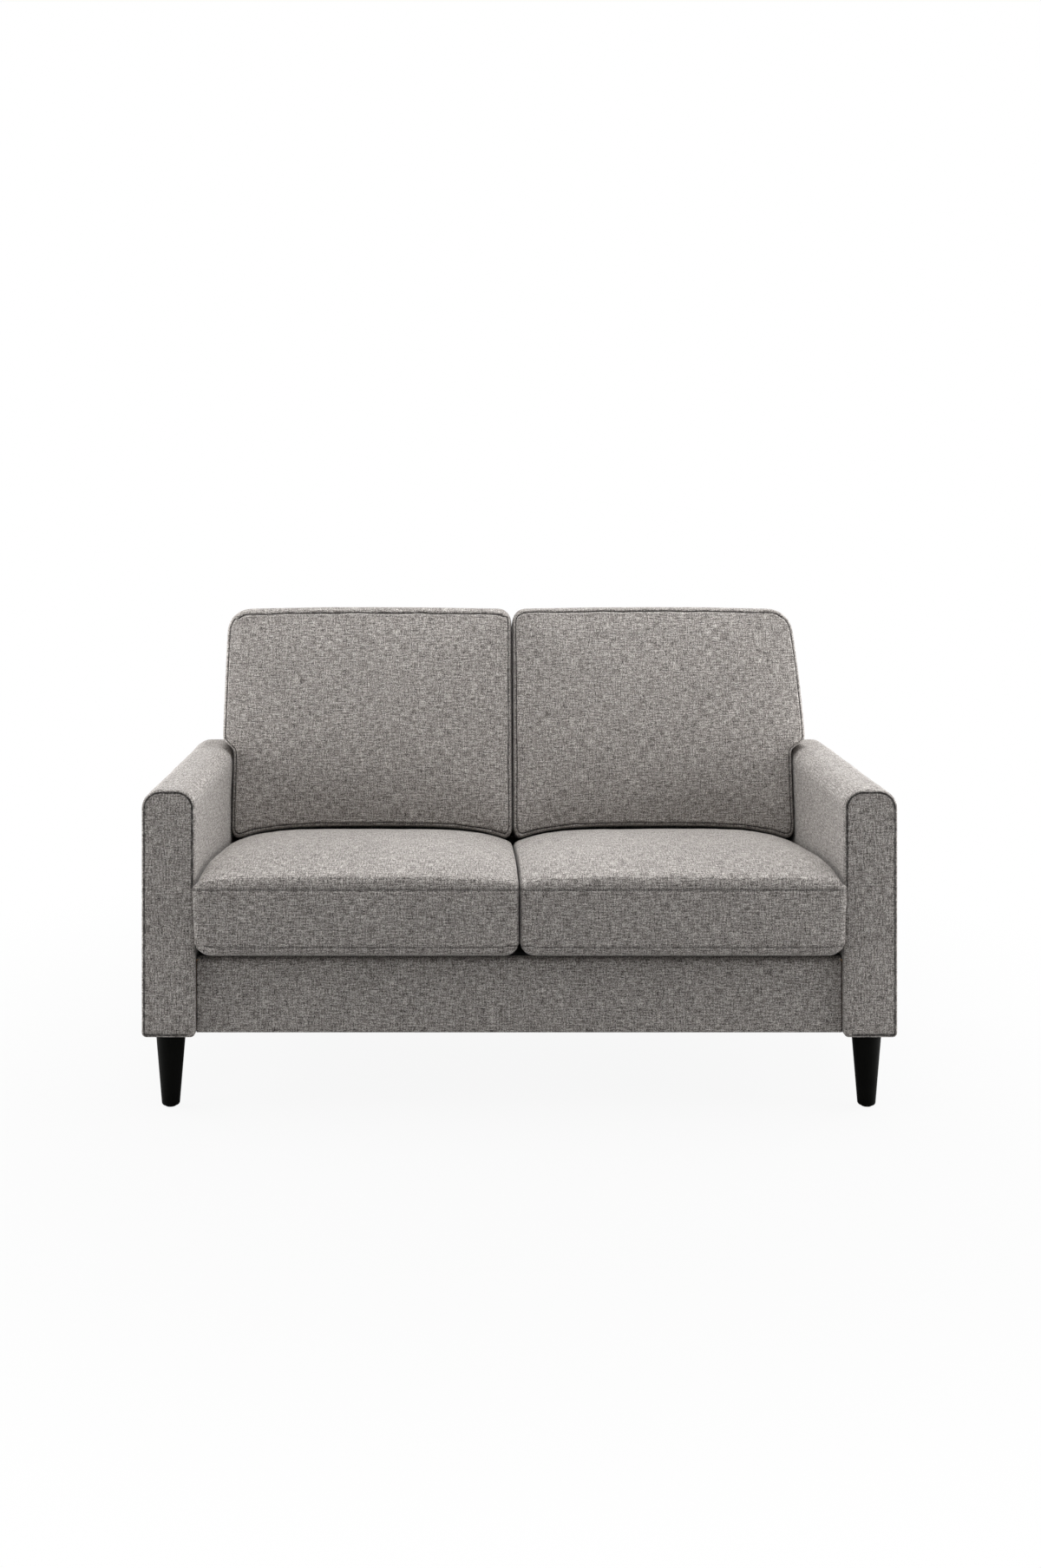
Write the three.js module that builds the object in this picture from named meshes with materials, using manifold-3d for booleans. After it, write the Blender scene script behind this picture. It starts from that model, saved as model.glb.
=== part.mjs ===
// A two-seat loveseat: a timber frame with sinuous seat springs, slim track arms, a leaning back
// and four loose boxed cushions on tapered screw-in legs. Millimetres, +Z up. The seat opens
// towards -Y, and the origin is on the floor under the middle of the footprint.

import * as THREE from "three";
import { mergeVertices } from "three/addons/utils/BufferGeometryUtils.js";
import Module from "manifold-3d";

const wasm = await Module();
wasm.setup();

// Overall sizes and clearances
const OVERALL_WIDTH = 1450;
const OVERALL_DEPTH = 800;
const GAP = 0.3; // between two pieces that touch
const CUT_OVERRUN = 4; // how far a cutter runs past the face that it opens

// Legs and their fasteners
const LEG_HEIGHT = 151;
const LEG_TOP_RADIUS = 29.5;
const LEG_FOOT_RADIUS = 17;
const LEG_FOOT_ROUND = 5;
const LEG_OUTSET = 5; // of the legs outside the middle of the arms
const LEG_POST_CLEARANCE = 2; // between a tee nut's flange and the arm post beside it
const HANGER_BOLT_RADIUS = 4;
const HANGER_BOLT_POINT = 6;
const HANGER_BOLT_IN_LEG = 42;
const HANGER_BOLT_ABOVE_NUT = 3;
const TEE_NUT_BARREL_RADIUS = 5.6;
const TEE_NUT_BARREL_LENGTH = 11;
const TEE_NUT_FLANGE_RADIUS = 11;
const TEE_NUT_FLANGE_THICKNESS = 1.5;

// Arms
const ARM_WIDTH = 102.4;
const ARM_HEIGHT = 474.7;
const ARM_LENGTH = 700;
const ARM_SETBACK = 10; // of the arm's front behind the seat cushions' front
const ARM_TOP_ROUND = 36;
const ARM_BOTTOM_ROUND = 9;
const ARM_END_ROUND = 4;
const ARM_PANEL_DEPTH = 8;
const ARM_PANEL_INSET = 3;
const ARM_PADDING = 18; // over the timber at the sides and the top
const ARM_END_PADDING = 4; // over the timber at the ends
const ARM_POST_DEPTH = 40;
const ARM_TOP_RAIL_HEIGHT = 25;
const ARM_BOTTOM_RAIL_HEIGHT = 40;

// Bolts between the arms and the seat frame
const ARM_BOLT_RADIUS = 4;
const ARM_BOLT_HEAD_RADIUS = 7.5;
const ARM_BOLT_HEAD_THICKNESS = 5.5;
const ARM_BOLT_BITE = 45; // length inside the arm's bottom rail
const ARM_BOLT_PLACE_SHARES = [0.16, 0.84]; // of the side rail's length

// Seat frame and deck
const DECK_HEIGHT = 149.7; // of the deck's top above the arms' foot
const DECK_PAD_THICKNESS = 12.7;
const BASE_LIFT = 4.5; // of the seat frame's foot above the arms' foot
const RAIL_FACE_SETBACK = 15; // of the covered front rail behind the arm's front
const RAIL_COVER_THICKNESS = 4;
const RAIL_COVER_TOP_ROUND = 9;
const RAIL_COVER_BOTTOM_ROUND = 6;
const FRONT_RAIL_LIP = 12;
const SPRING_LEDGE = 20; // depth of the ledge that carries the clips
const SIDE_RAIL_THICKNESS = 22;
const STRETCHER_THICKNESS = 22;
const STRETCHER_DROP = 30; // of its top below the spring ledge
const DUST_COVER_THICKNESS = 1.7;

// Sinuous springs and their clips
const SPRING_COUNT = 8;
const SPRING_CURLS = 12;
const SPRING_BAR_HALF = 14; // half the straight bar between two bends
const SPRING_WIRE_RADIUS = 1.9;
const SPRING_RISE = 6; // how far the middle arches over the ends
const CLIP_WIDTH = 20;
const CLIP_STEEL = 2;
const CLIP_TONGUE = 4;

// Back frame
const BACK_LEAN_DEGREES = 12;
const BACK_THICKNESS = 60;
const BACK_RISE = 511; // above the deck
const BACK_TOP_ROUND = 20;
const BACK_PADDING = 9;
const BACK_POST_WIDTH = 45;
const BACK_RAIL_HEIGHT = 50;

// Cushions
const CUSHION_SIDE_CLEARANCE = 0.6; // to the arms and to the back
const CUSHION_MIDDLE_GAP = 1.5; // between the two seats
const CUSHION_WALL = 8; // cover and wadding
const CUSHION_ROLL = 18; // radius of the edges, where the seams run
const CUSHION_SEAM_DIP = 1.6;
const CUSHION_CORE_CLEARANCE = 0.6;
const CUSHION_DRAW = 2; // how far a side pulls in between its corners
const ZIP_OPENING_HEIGHT = 4;
const ZIP_OPENING_SHARE = 0.8; // of the cushion's width
const SEAT_FRONT_THICKNESS = 151.7; // at the corners, below the crowns
const SEAT_REAR_THICKNESS = 110.7;
const SEAT_SIDE_CROWN = 22; // how far the middle of each side edge rises over its corners
const SEAT_FRONT_CROWN = 12;
const SEAT_CROWN = 13; // of the middle over the edges
const SEAT_MEETS_BACK = 159.7; // height of the back cushion's front bottom edge above the seat's foot
const BACK_CUSHION_THICKNESS = 136;
const BACK_CUSHION_RISE = 475; // from there to the sharp corner that the top roll rounds off
const BACK_CUSHION_CROWN = 20;
const BACK_CUSHION_TOP_CROWN = 4;
const BACK_CUSHION_BULGE = 26; // over the arm's inner edge
const BACK_CUSHION_BULGE_TAPER = 8; // how much of it is lost at the cushion's top
const BACK_CUSHION_BULGE_BELOW = 18; // where it starts, under the arm's top
const BACK_CUSHION_BULGE_RUN = 38;
const BACK_CUSHION_OUTER_CORNER = 46; // radius of a top corner, seen from the front
const BACK_CUSHION_INNER_CORNER = 27;
const BACK_CUSHION_FOOT_CORNER = 24;
const SEAT_EDGE_POWER = 4;
const SEAT_CROWN_POWERS = [2.4, 4]; // across and along
const BACK_CROWN_POWERS = [4, 4];

// Grids of the cushions, as shares of half a side that run from edge to edge
const COVER_GRID_SHARES = mirrorShares([0, 0.45, 0.75, 0.942, 0.972]);
const BACK_GRID_SHARES = mirrorShares([0, 0.45, 0.75, 0.86, 0.942, 0.972]);
const CORE_GRID_SHARES = mirrorShares([0, 0.5, 0.85]);
const EDGE_SHARES = [-1, 1];
const BACK_ROW_SHARES = [-0.66, 0.33, 0.62]; // rows between the seams and the bulge

// Facets of the round forms
const ARC_STEPS = 2; // each makes two facets of an arc
const LEG_SIDES = 20;
const FASTENER_SIDES = 10;
const HEX_SIDES = 6;
const CLIP_ARC_STEPS = 3;
const WIRE_SIDES = 5;
const BEND_STEPS = 4;
const END_ROUND_STEPS = 2;

// Colour, roughness and metalness of each finish
const FINISHES = {
  upholstery: { color: 0x8b8580, roughness: 0.95, metalness: 0 },
  foam: { color: 0xe6d9b0, roughness: 0.9, metalness: 0 },
  timber: { color: 0xc79f6b, roughness: 0.75, metalness: 0 },
  blackWood: { color: 0x141313, roughness: 0.4, metalness: 0 },
  springSteel: { color: 0x5d5f63, roughness: 0.45, metalness: 0.9 },
  zinc: { color: 0xa9acb0, roughness: 0.35, metalness: 0.95 },
  deckCloth: { color: 0x2b2a2a, roughness: 0.95, metalness: 0 },
};

// Places that follow from the sizes
const halfWidth = OVERALL_WIDTH / 2;
const frontY = -OVERALL_DEPTH / 2;
const armInnerX = halfWidth - ARM_WIDTH;
const legX = halfWidth - ARM_WIDTH / 2 + LEG_OUTSET;
const armFrontY = frontY + ARM_SETBACK;
const armRearY = armFrontY + ARM_LENGTH;
const armBottom = LEG_HEIGHT + GAP;
const armTop = armBottom + ARM_HEIGHT;
const baseBottom = armBottom + BASE_LIFT;
const deckTop = armBottom + DECK_HEIGHT;
const backTop = deckTop + BACK_RISE;
const frameHalfX = armInnerX - GAP;

const lean = THREE.MathUtils.degToRad(BACK_LEAN_DEGREES);
const leanCos = Math.cos(lean);
const leanSin = Math.sin(lean);
const backCornerHeight = (backTop - BACK_TOP_ROUND - deckTop + BACK_TOP_ROUND * leanSin) / leanCos;
const backHeight = backCornerHeight + BACK_TOP_ROUND;
const backY =
  OVERALL_DEPTH / 2 -
  BACK_TOP_ROUND -
  (BACK_THICKNESS - BACK_TOP_ROUND) * leanCos -
  backCornerHeight * leanSin;

const deckPadBottom = deckTop - DECK_PAD_THICKNESS;
const wireTop = deckPadBottom - GAP;
const springZ = wireTop - SPRING_RISE - SPRING_WIRE_RADIUS;
const clipInnerRadius = SPRING_WIRE_RADIUS + GAP;
const clipOuterRadius = clipInnerRadius + CLIP_STEEL;
const ledgeTop = springZ - clipOuterRadius - GAP;
const railBottom = baseBottom + RAIL_COVER_THICKNESS + GAP;
const railFaceY = armFrontY + RAIL_FACE_SETBACK;
const frontRailY = railFaceY + RAIL_COVER_THICKNESS + GAP;
const lipRearY = frontRailY + FRONT_RAIL_LIP;
const frontRailRearY = lipRearY + SPRING_LEDGE;
const rearRailY = backPoint(-GAP, heightAlongBack(-GAP, railBottom))[0] - SPRING_LEDGE;
const springFrontY = frontRailRearY - clipOuterRadius;
const springRearY = rearRailY + clipOuterRadius;
const sideRailX = frameHalfX - SIDE_RAIL_THICKNESS;

// Where the cushions lie: the right seat's room, and the heights at which the back cushion stands
const seatCushion = {
  sides: [CUSHION_MIDDLE_GAP / 2, frameHalfX - CUSHION_SIDE_CLEARANCE],
  ends: [frontY, backY - CUSHION_SIDE_CLEARANCE],
  bottom: deckTop + GAP,
};
const seatCornerFront = seatCushion.bottom + SEAT_FRONT_THICKNESS;
const seatCornerRear = seatCushion.bottom + SEAT_REAR_THICKNESS;
const seatMeetsBack = seatCushion.bottom + SEAT_MEETS_BACK;
const backCushionBottom = heightAlongBack(-BACK_CUSHION_THICKNESS, seatMeetsBack);
const backCushionTop = heightAlongBack(-BACK_CUSHION_THICKNESS, seatMeetsBack + BACK_CUSHION_RISE);
const bulgeHeight = heightAlongBack(0, armTop - BACK_CUSHION_BULGE_BELOW);
const bulgeTop = bulgeHeight + BACK_CUSHION_BULGE_RUN;

// Shares of half a side, mirrored about the middle, with the edges added.
function mirrorShares(shares) {
  const positive = [...shares.filter((share) => share > 0), 1];
  return [...positive.map((share) => -share).reverse(), 0, ...positive];
}

// A point of the leaning back, from its depth behind the front plane and its height up the slope.
function backPoint(depth, height) {
  return [backY + depth * leanCos + height * leanSin, deckTop - depth * leanSin + height * leanCos];
}

// The height up the slope at which a line of constant depth reaches the level z.
function heightAlongBack(depth, z) {
  return (z - deckTop + depth * leanSin) / leanCos;
}

// Turns a closed geometry into a solid that can be joined and cut.
function solidOf(geometry) {
  const bare = geometry.clone();
  for (const name of ["normal", "uv"]) bare.deleteAttribute(name);
  const merged = mergeVertices(bare);
  return new wasm.Manifold(
    new wasm.Mesh({
      numProp: 3,
      vertProperties: new Float32Array(merged.getAttribute("position").array),
      triVerts: new Uint32Array(merged.index.array),
    }),
  );
}

// Turns a solid back into a geometry.
function geometryOf(solid) {
  const made = solid.getMesh();
  const geometry = new THREE.BufferGeometry();
  geometry.setAttribute("position", new THREE.BufferAttribute(made.vertProperties, made.numProp));
  geometry.setIndex(new THREE.BufferAttribute(made.triVerts, 1));
  const faceted = geometry.toNonIndexed();
  faceted.computeVertexNormals();
  return faceted;
}

function cut(geometry, ...cutters) {
  return geometryOf(cutters.reduce((solid, cutter) => solid.subtract(solidOf(cutter)), solidOf(geometry)));
}

function join(geometry, ...others) {
  return geometryOf(others.reduce((solid, other) => solid.add(solidOf(other)), solidOf(geometry)));
}

// A block between two corners.
function block([x0, x1], [y0, y1], [z0, z1]) {
  const geometry = new THREE.BoxGeometry(x1 - x0, y1 - y0, z1 - z0);
  return geometry.translate((x0 + x1) / 2, (y0 + y1) / 2, (z0 + z1) / 2);
}

// A block square to the leaning back, between two depths and two heights up its slope.
function leaningBlock([x0, x1], [depth0, depth1], [height0, height1]) {
  const geometry = block([x0, x1], [depth0, depth1], [height0, height1]);
  return geometry.rotateX(-lean).translate(0, backY, deckTop);
}

function grown([low, high], by) {
  return [low - by, high + by];
}

// An outline in Y and Z, extruded along X.
function alongX(shape, [x0, x1], arcSteps = ARC_STEPS) {
  const geometry = new THREE.ExtrudeGeometry(shape, {
    depth: x1 - x0,
    bevelEnabled: false,
    curveSegments: arcSteps,
  });
  const turn = new THREE.Matrix4().makeBasis(
    new THREE.Vector3(0, 1, 0),
    new THREE.Vector3(0, 0, 1),
    new THREE.Vector3(1, 0, 0),
  );
  return geometry.applyMatrix4(turn).translate(x0, 0, 0);
}

// An outline in X and Z, extruded along Y with rounded ends.
function alongY(shape, [y0, y1], endRound) {
  const geometry = new THREE.ExtrudeGeometry(shape, {
    depth: y1 - y0 - endRound * 2,
    bevelThickness: endRound,
    bevelSize: endRound,
    bevelOffset: -endRound,
    bevelSegments: END_ROUND_STEPS,
    curveSegments: ARC_STEPS,
  });
  const turn = new THREE.Matrix4().makeBasis(
    new THREE.Vector3(1, 0, 0),
    new THREE.Vector3(0, 0, 1),
    new THREE.Vector3(0, -1, 0),
  );
  return geometry.applyMatrix4(turn).translate(0, y1 - endRound, 0);
}

function rodAlongX(radius, sides, [x0, x1], y, z) {
  const geometry = new THREE.CylinderGeometry(radius, radius, x1 - x0, sides);
  return geometry.rotateZ(Math.PI / 2).translate((x0 + x1) / 2, y, z);
}

function rodAlongZ(radius, sides, x, y, [z0, z1]) {
  const geometry = new THREE.CylinderGeometry(radius, radius, z1 - z0, sides);
  return geometry.rotateX(Math.PI / 2).translate(x, y, (z0 + z1) / 2);
}

// A profile of [radius, z] points turned about an upright axis.
function turned(profile, sides, x, y) {
  const points = profile.map(([radius, z]) => new THREE.Vector2(radius, z));
  return new THREE.LatheGeometry(points, sides).rotateX(Math.PI / 2).translate(x, y, 0);
}

function piece(name, geometry, finish) {
  const mesh = new THREE.Mesh(geometry, new THREE.MeshStandardMaterial(FINISHES[finish]));
  mesh.name = name;
  return mesh;
}

// A box surface whose grid lines lie at the given shares, with each of its points set by place.
function formedBox(shareLists, place) {
  const [across, along, up] = shareLists.map((shares) => shares.length - 1);
  const geometry = new THREE.BoxGeometry(across, along, up, across, along, up);
  const spots = geometry.getAttribute("position");
  for (let index = 0; index < spots.count; index += 1) {
    const shares = shareLists.map((list, axis) => {
      const step = Math.round(spots.getComponent(index, axis) + (list.length - 1) / 2);
      return list[step];
    });
    const point = place(...shares);
    spots.setXYZ(index, point.x, point.y, point.z);
  }
  return geometry;
}

// The point of a box with rolled edges that belongs to a share of each of its half sides.
function rolledPoint(shares, halfSides, roll, dip = 0) {
  const flat = new THREE.Vector3(...shares).multiply(halfSides);
  const reach = halfSides.clone().addScalar(-roll);
  const core = flat.clone().clamp(reach.clone().negate(), reach);
  return flat.sub(core).setLength(roll - dip).add(core);
}

// The same point on a box whose corner, seen from the front, is rounded with the given radius.
function corneredPoint(point, halfSides, radius) {
  const reach = halfSides.clone().addScalar(-radius);
  const across = Math.abs(point.x) - reach.x;
  const up = Math.abs(point.z) - reach.z;
  if (Math.min(across, up) <= 0) return point;
  const share = Math.max(across, up) / Math.hypot(across, up);
  const x = Math.sign(point.x) * (reach.x + across * share);
  const z = Math.sign(point.z) * (reach.z + up * share);
  return new THREE.Vector3(x, point.y, z);
}

// How far a crown has risen, from 1 in the middle to 0 at the edges.
function crownShare(across, along, [acrossPower, alongPower]) {
  return (1 - Math.abs(across) ** acrossPower) * (1 - Math.abs(along) ** alongPower);
}

// Shares of the height for a boxed cushion: the rolled edges, the seams and the boxing between them.
function boxedHeightShares(height) {
  const seam = 1 - (CUSHION_ROLL * 2) / height;
  const beside = 1 - (CUSHION_ROLL * 3) / height;
  const roll = 1 - CUSHION_ROLL / height;
  return { shares: mirrorShares([0, beside, seam, roll]), seam };
}

// The height of the back cushion's underside over a point of the seat.
function undersideZ(y) {
  const [edgeY] = backPoint(-BACK_CUSHION_THICKNESS, backCushionBottom);
  return seatMeetsBack - ((y - edgeY) * leanSin) / leanCos;
}

// The height of the seat cushion's corners, and of its whole top, at shares across and along it.
function seatCorner(along) {
  return THREE.MathUtils.lerp(seatCornerFront, seatCornerRear, (along + 1) / 2);
}

function seatTop(across, along) {
  const sideCrown = SEAT_SIDE_CROWN * (1 - Math.abs(along) ** SEAT_EDGE_POWER);
  const frontCrown = SEAT_FRONT_CROWN * (1 - Math.abs(across) ** SEAT_EDGE_POWER);
  const middle = SEAT_CROWN * crownShare(across, along, SEAT_CROWN_POWERS);
  return seatCorner(along) + sideCrown + frontCrown + middle;
}

// The seat cushion's outside, or a smaller body inside it at the given inset.
function seatCushionForm(inset, shareLists, seam) {
  const [x0, x1] = grown(seatCushion.sides, -inset);
  const [y0, y1] = grown(seatCushion.ends, -inset);
  const bottom = seatCushion.bottom + inset;
  const halfHeight = (seatCornerFront - seatCushion.bottom) / 2 - inset;
  const crownFrom = 1 - CUSHION_ROLL / halfHeight;
  const half = new THREE.Vector3((x1 - x0) / 2, (y1 - y0) / 2, halfHeight);
  return formedBox(shareLists, (...shares) => {
    const point = rolledPoint(shares, half, CUSHION_ROLL - inset);
    const at = point.clone().divide(half);
    const dip = Math.abs(shares[2]) === seam ? CUSHION_SEAM_DIP : 0;
    const draw = CUSHION_DRAW * (1 - at.z ** 2) + dip;
    const x = point.x - at.x * (CUSHION_DRAW * (1 - at.y ** 2) + draw);
    const y = point.y - at.y * (shares[1] === -1 ? dip : draw);
    const corner = seatCorner(at.y);
    const rise = THREE.MathUtils.clamp((at.z - crownFrom) / (1 - crownFrom), 0, 1);
    const crown = (seatTop(at.x, at.y) - corner) * rise;
    const z = bottom + ((corner - inset - bottom) * (at.z + 1)) / 2 + crown;
    const placedY = y + (y0 + y1) / 2;
    const limit = undersideZ(placedY) - GAP * 2 - inset;
    return new THREE.Vector3(x + (x0 + x1) / 2, placedY, Math.min(z, limit));
  });
}

// The back cushion's outside, or a smaller body inside it at the given inset.
function backCushionForm(inset, shareLists, sewn) {
  const [x0, x1] = grown(seatCushion.sides, -inset);
  const [depth0, depth1] = grown([-BACK_CUSHION_THICKNESS, -CUSHION_SIDE_CLEARANCE], -inset);
  const [height0, height1] = grown([backCushionBottom, backCushionTop - BACK_CUSHION_TOP_CROWN], -inset);
  const half = new THREE.Vector3((x1 - x0) / 2, (depth1 - depth0) / 2, (height1 - height0) / 2);
  return formedBox(shareLists, (...shares) => {
    const onEdge = Math.abs(shares[1]) === 1 && Math.max(Math.abs(shares[0]), Math.abs(shares[2])) === 1;
    const dip = sewn && onEdge ? CUSHION_SEAM_DIP : 0;
    const rolled = rolledPoint(shares, half, CUSHION_ROLL - inset, dip);
    const topCorner = shares[0] > 0 ? BACK_CUSHION_OUTER_CORNER : BACK_CUSHION_INNER_CORNER;
    const corner = shares[2] > 0 ? topCorner : BACK_CUSHION_FOOT_CORNER;
    const point = corneredPoint(rolled, half, corner - inset);
    const at = point.clone().divide(half);
    const height = point.z + (height0 + height1) / 2;
    const rise = THREE.MathUtils.clamp((height - bulgeHeight) / BACK_CUSHION_BULGE_RUN, 0, 1);
    const taper = THREE.MathUtils.clamp((height - bulgeTop) / (backCushionTop - bulgeTop), 0, 1);
    const bulge = (BACK_CUSHION_BULGE * rise - BACK_CUSHION_BULGE_TAPER * taper) * Math.max(0, at.x);
    const draw = at.x * CUSHION_DRAW * (1 - at.z ** 2);
    const topCrown = BACK_CUSHION_TOP_CROWN * (1 - at.x ** 2) * Math.max(0, at.z);
    const crown = BACK_CUSHION_CROWN * crownShare(at.x, at.z, BACK_CROWN_POWERS) * Math.max(0, -at.y);
    const depth = point.y + (depth0 + depth1) / 2 - crown;
    const [y, z] = backPoint(depth, height + topCrown);
    return new THREE.Vector3(point.x + (x0 + x1) / 2 - draw + bulge, y, z);
  });
}

function seatCushionPieces(side) {
  const boxed = boxedHeightShares(seatCornerFront - seatCushion.bottom);
  const outside = seatCushionForm(0, [COVER_GRID_SHARES, COVER_GRID_SHARES, boxed.shares], boxed.seam);
  const coreShares = [CORE_GRID_SHARES, CORE_GRID_SHARES, EDGE_SHARES];
  const hollow = seatCushionForm(CUSHION_WALL, coreShares, null);
  const core = seatCushionForm(CUSHION_WALL + CUSHION_CORE_CLEARANCE, coreShares, null);
  const middleX = (seatCushion.sides[0] + seatCushion.sides[1]) / 2;
  const zipHalf = ((seatCushion.sides[1] - seatCushion.sides[0]) * ZIP_OPENING_SHARE) / 2;
  const zipZ = (seatCushion.bottom + seatCornerRear) / 2;
  const opening = block(
    [middleX - zipHalf, middleX + zipHalf],
    [seatCushion.ends[1] - CUSHION_WALL - CUSHION_DRAW - CUT_OVERRUN, seatCushion.ends[1] + CUT_OVERRUN],
    grown([zipZ, zipZ], ZIP_OPENING_HEIGHT / 2),
  );
  return [
    piece(`${side}_seat_cushion_cover`, cut(outside, hollow, opening), "upholstery"),
    piece(`${side}_seat_cushion_foam`, core, "foam"),
  ];
}

function backCushionPieces(side) {
  const boxed = boxedHeightShares(BACK_CUSHION_THICKNESS);
  const height = backCushionTop - backCushionBottom;
  const bulgeStart = bulgeHeight - backCushionBottom;
  const rollShares = [CUSHION_ROLL / height, (CUSHION_ROLL * 2) / height].map((share) => 1 - share);
  const cornerShare = 1 - (BACK_CUSHION_OUTER_CORNER * 2) / height;
  const bulgeShares = [bulgeStart, bulgeStart + BACK_CUSHION_BULGE_RUN].map(
    (along) => (along * 2) / height - 1,
  );
  const upShares = mirrorShares([...rollShares, cornerShare]).filter((share) => share !== 0);
  const rows = [...upShares, ...bulgeShares, ...BACK_ROW_SHARES].sort((a, b) => a - b);
  const outside = backCushionForm(0, [BACK_GRID_SHARES, boxed.shares, rows], true);
  const coreRows = [...EDGE_SHARES, ...bulgeShares, ...BACK_ROW_SHARES].sort((a, b) => a - b);
  const coreShares = [CORE_GRID_SHARES, EDGE_SHARES, coreRows];
  const hollow = backCushionForm(CUSHION_WALL, coreShares, false);
  const core = backCushionForm(CUSHION_WALL + CUSHION_CORE_CLEARANCE, coreShares, false);
  const middleX = (seatCushion.sides[0] + seatCushion.sides[1]) / 2;
  const zipHalf = ((seatCushion.sides[1] - seatCushion.sides[0]) * ZIP_OPENING_SHARE) / 2;
  const zipDepth = -BACK_CUSHION_THICKNESS / 2;
  const opening = leaningBlock(
    [middleX - zipHalf, middleX + zipHalf],
    grown([zipDepth, zipDepth], ZIP_OPENING_HEIGHT / 2),
    [backCushionBottom - CUT_OVERRUN, backCushionBottom + CUSHION_WALL + CUT_OVERRUN],
  );
  return [
    piece(`${side}_back_cushion_cover`, cut(outside, hollow, opening), "upholstery"),
    piece(`${side}_back_cushion_foam`, core, "foam"),
  ];
}

// An upright outline with rounded top corners and slightly rounded bottom ones.
function armOutline(inset) {
  const [x0, x1] = grown([armInnerX, halfWidth], -inset);
  const [z0, z1] = grown([armBottom, armTop], -inset);
  const top = ARM_TOP_ROUND - inset;
  const foot = ARM_BOTTOM_ROUND - inset;
  const shape = new THREE.Shape();
  shape.moveTo(x0 + foot, z0);
  shape.absarc(x1 - foot, z0 + foot, foot, -Math.PI / 2, 0, false);
  shape.absarc(x1 - top, z1 - top, top, 0, Math.PI / 2, false);
  shape.absarc(x0 + top, z1 - top, top, Math.PI / 2, Math.PI, false);
  shape.absarc(x0 + foot, z0 + foot, foot, Math.PI, Math.PI * 1.5, false);
  return shape;
}

// The timbers of one arm, each as its spans along X, Y and Z.
function armTimbers() {
  const across = [armInnerX + ARM_PADDING, halfWidth - ARM_PADDING];
  const coverFrontY = armFrontY + ARM_PANEL_DEPTH + GAP;
  const frontY0 = coverFrontY + ARM_END_PADDING + GAP;
  const rearY1 = armRearY - ARM_END_PADDING - GAP;
  const bottomTop = armBottom + ARM_BOTTOM_RAIL_HEIGHT;
  const topBottom = armTop - ARM_PADDING - GAP - ARM_TOP_RAIL_HEIGHT;
  const postSpan = [bottomTop + GAP, topBottom - GAP];
  return {
    arm_bottom_rail: [across, [frontY0, rearY1], [armBottom, bottomTop]],
    arm_front_post: [across, [frontY0, frontY0 + ARM_POST_DEPTH], postSpan],
    arm_rear_post: [across, [rearY1 - ARM_POST_DEPTH, rearY1], postSpan],
    arm_top_rail: [across, [frontY0, rearY1], [topBottom, topBottom + ARM_TOP_RAIL_HEIGHT]],
  };
}

// Where the two legs of an arm stand, just inside its posts.
function legPlaces() {
  const timbers = armTimbers();
  const beside = LEG_POST_CLEARANCE + TEE_NUT_FLANGE_RADIUS;
  return [
    ["front", timbers.arm_front_post[1][1] + beside],
    ["rear", timbers.arm_rear_post[1][0] - beside],
  ];
}

function armBoltPlaces() {
  const length = rearRailY - frontRailRearY;
  return ARM_BOLT_PLACE_SHARES.map((share) => frontRailRearY + length * share);
}

function armBoltZ() {
  return (railBottom + armBottom + ARM_BOTTOM_RAIL_HEIGHT) / 2;
}

function armPieces(side) {
  const timbers = armTimbers();
  const endRound = Math.min(ARM_END_ROUND, ARM_BOTTOM_ROUND);
  const panelRound = Math.min(ARM_END_ROUND, ARM_BOTTOM_ROUND) - ARM_PANEL_INSET / 2;
  const coverSpan = [armFrontY + ARM_PANEL_DEPTH + GAP, armRearY];
  const railTop = timbers.arm_bottom_rail[2][1];
  const boltHoles = armBoltPlaces().map((y) =>
    rodAlongX(
      ARM_BOLT_RADIUS + GAP,
      FASTENER_SIDES,
      [sideRailX - CUT_OVERRUN, armInnerX + ARM_PADDING + ARM_BOLT_BITE + GAP],
      y,
      armBoltZ(),
    ),
  );
  const nutPockets = legPlaces().map(([, y]) =>
    rodAlongZ(TEE_NUT_FLANGE_RADIUS + GAP, FASTENER_SIDES, legX, y, [
      railTop - CUT_OVERRUN,
      railTop + TEE_NUT_FLANGE_THICKNESS + HANGER_BOLT_ABOVE_NUT + GAP * 2,
    ]),
  );
  const nutHoles = legPlaces().map(([, y]) =>
    rodAlongZ(TEE_NUT_BARREL_RADIUS + GAP, FASTENER_SIDES, legX, y, [
      armBottom - CUT_OVERRUN,
      railTop + CUT_OVERRUN,
    ]),
  );
  const frameRoom = Object.entries(timbers).map(([name, [x, y, z]]) => {
    const down = name === "arm_bottom_rail" ? CUT_OVERRUN : GAP;
    return block(grown(x, GAP), grown(y, GAP), [z[0] - down, z[1] + GAP]);
  });
  const cover = alongY(armOutline(0), coverSpan, endRound);
  const panel = alongY(armOutline(ARM_PANEL_INSET), [armFrontY, armFrontY + ARM_PANEL_DEPTH], panelRound);
  const pieces = [
    piece(`${side}_arm_cover`, cut(cover, ...frameRoom, ...nutPockets, ...boltHoles), "upholstery"),
    piece(`${side}_arm_front_panel`, panel, "upholstery"),
  ];
  for (const [name, spans] of Object.entries(timbers)) {
    const plain = block(...spans);
    const made = name === "arm_bottom_rail" ? cut(plain, ...nutHoles, ...boltHoles) : plain;
    pieces.push(piece(`${side}_${name}`, made, "timber"));
  }
  return pieces;
}

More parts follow.
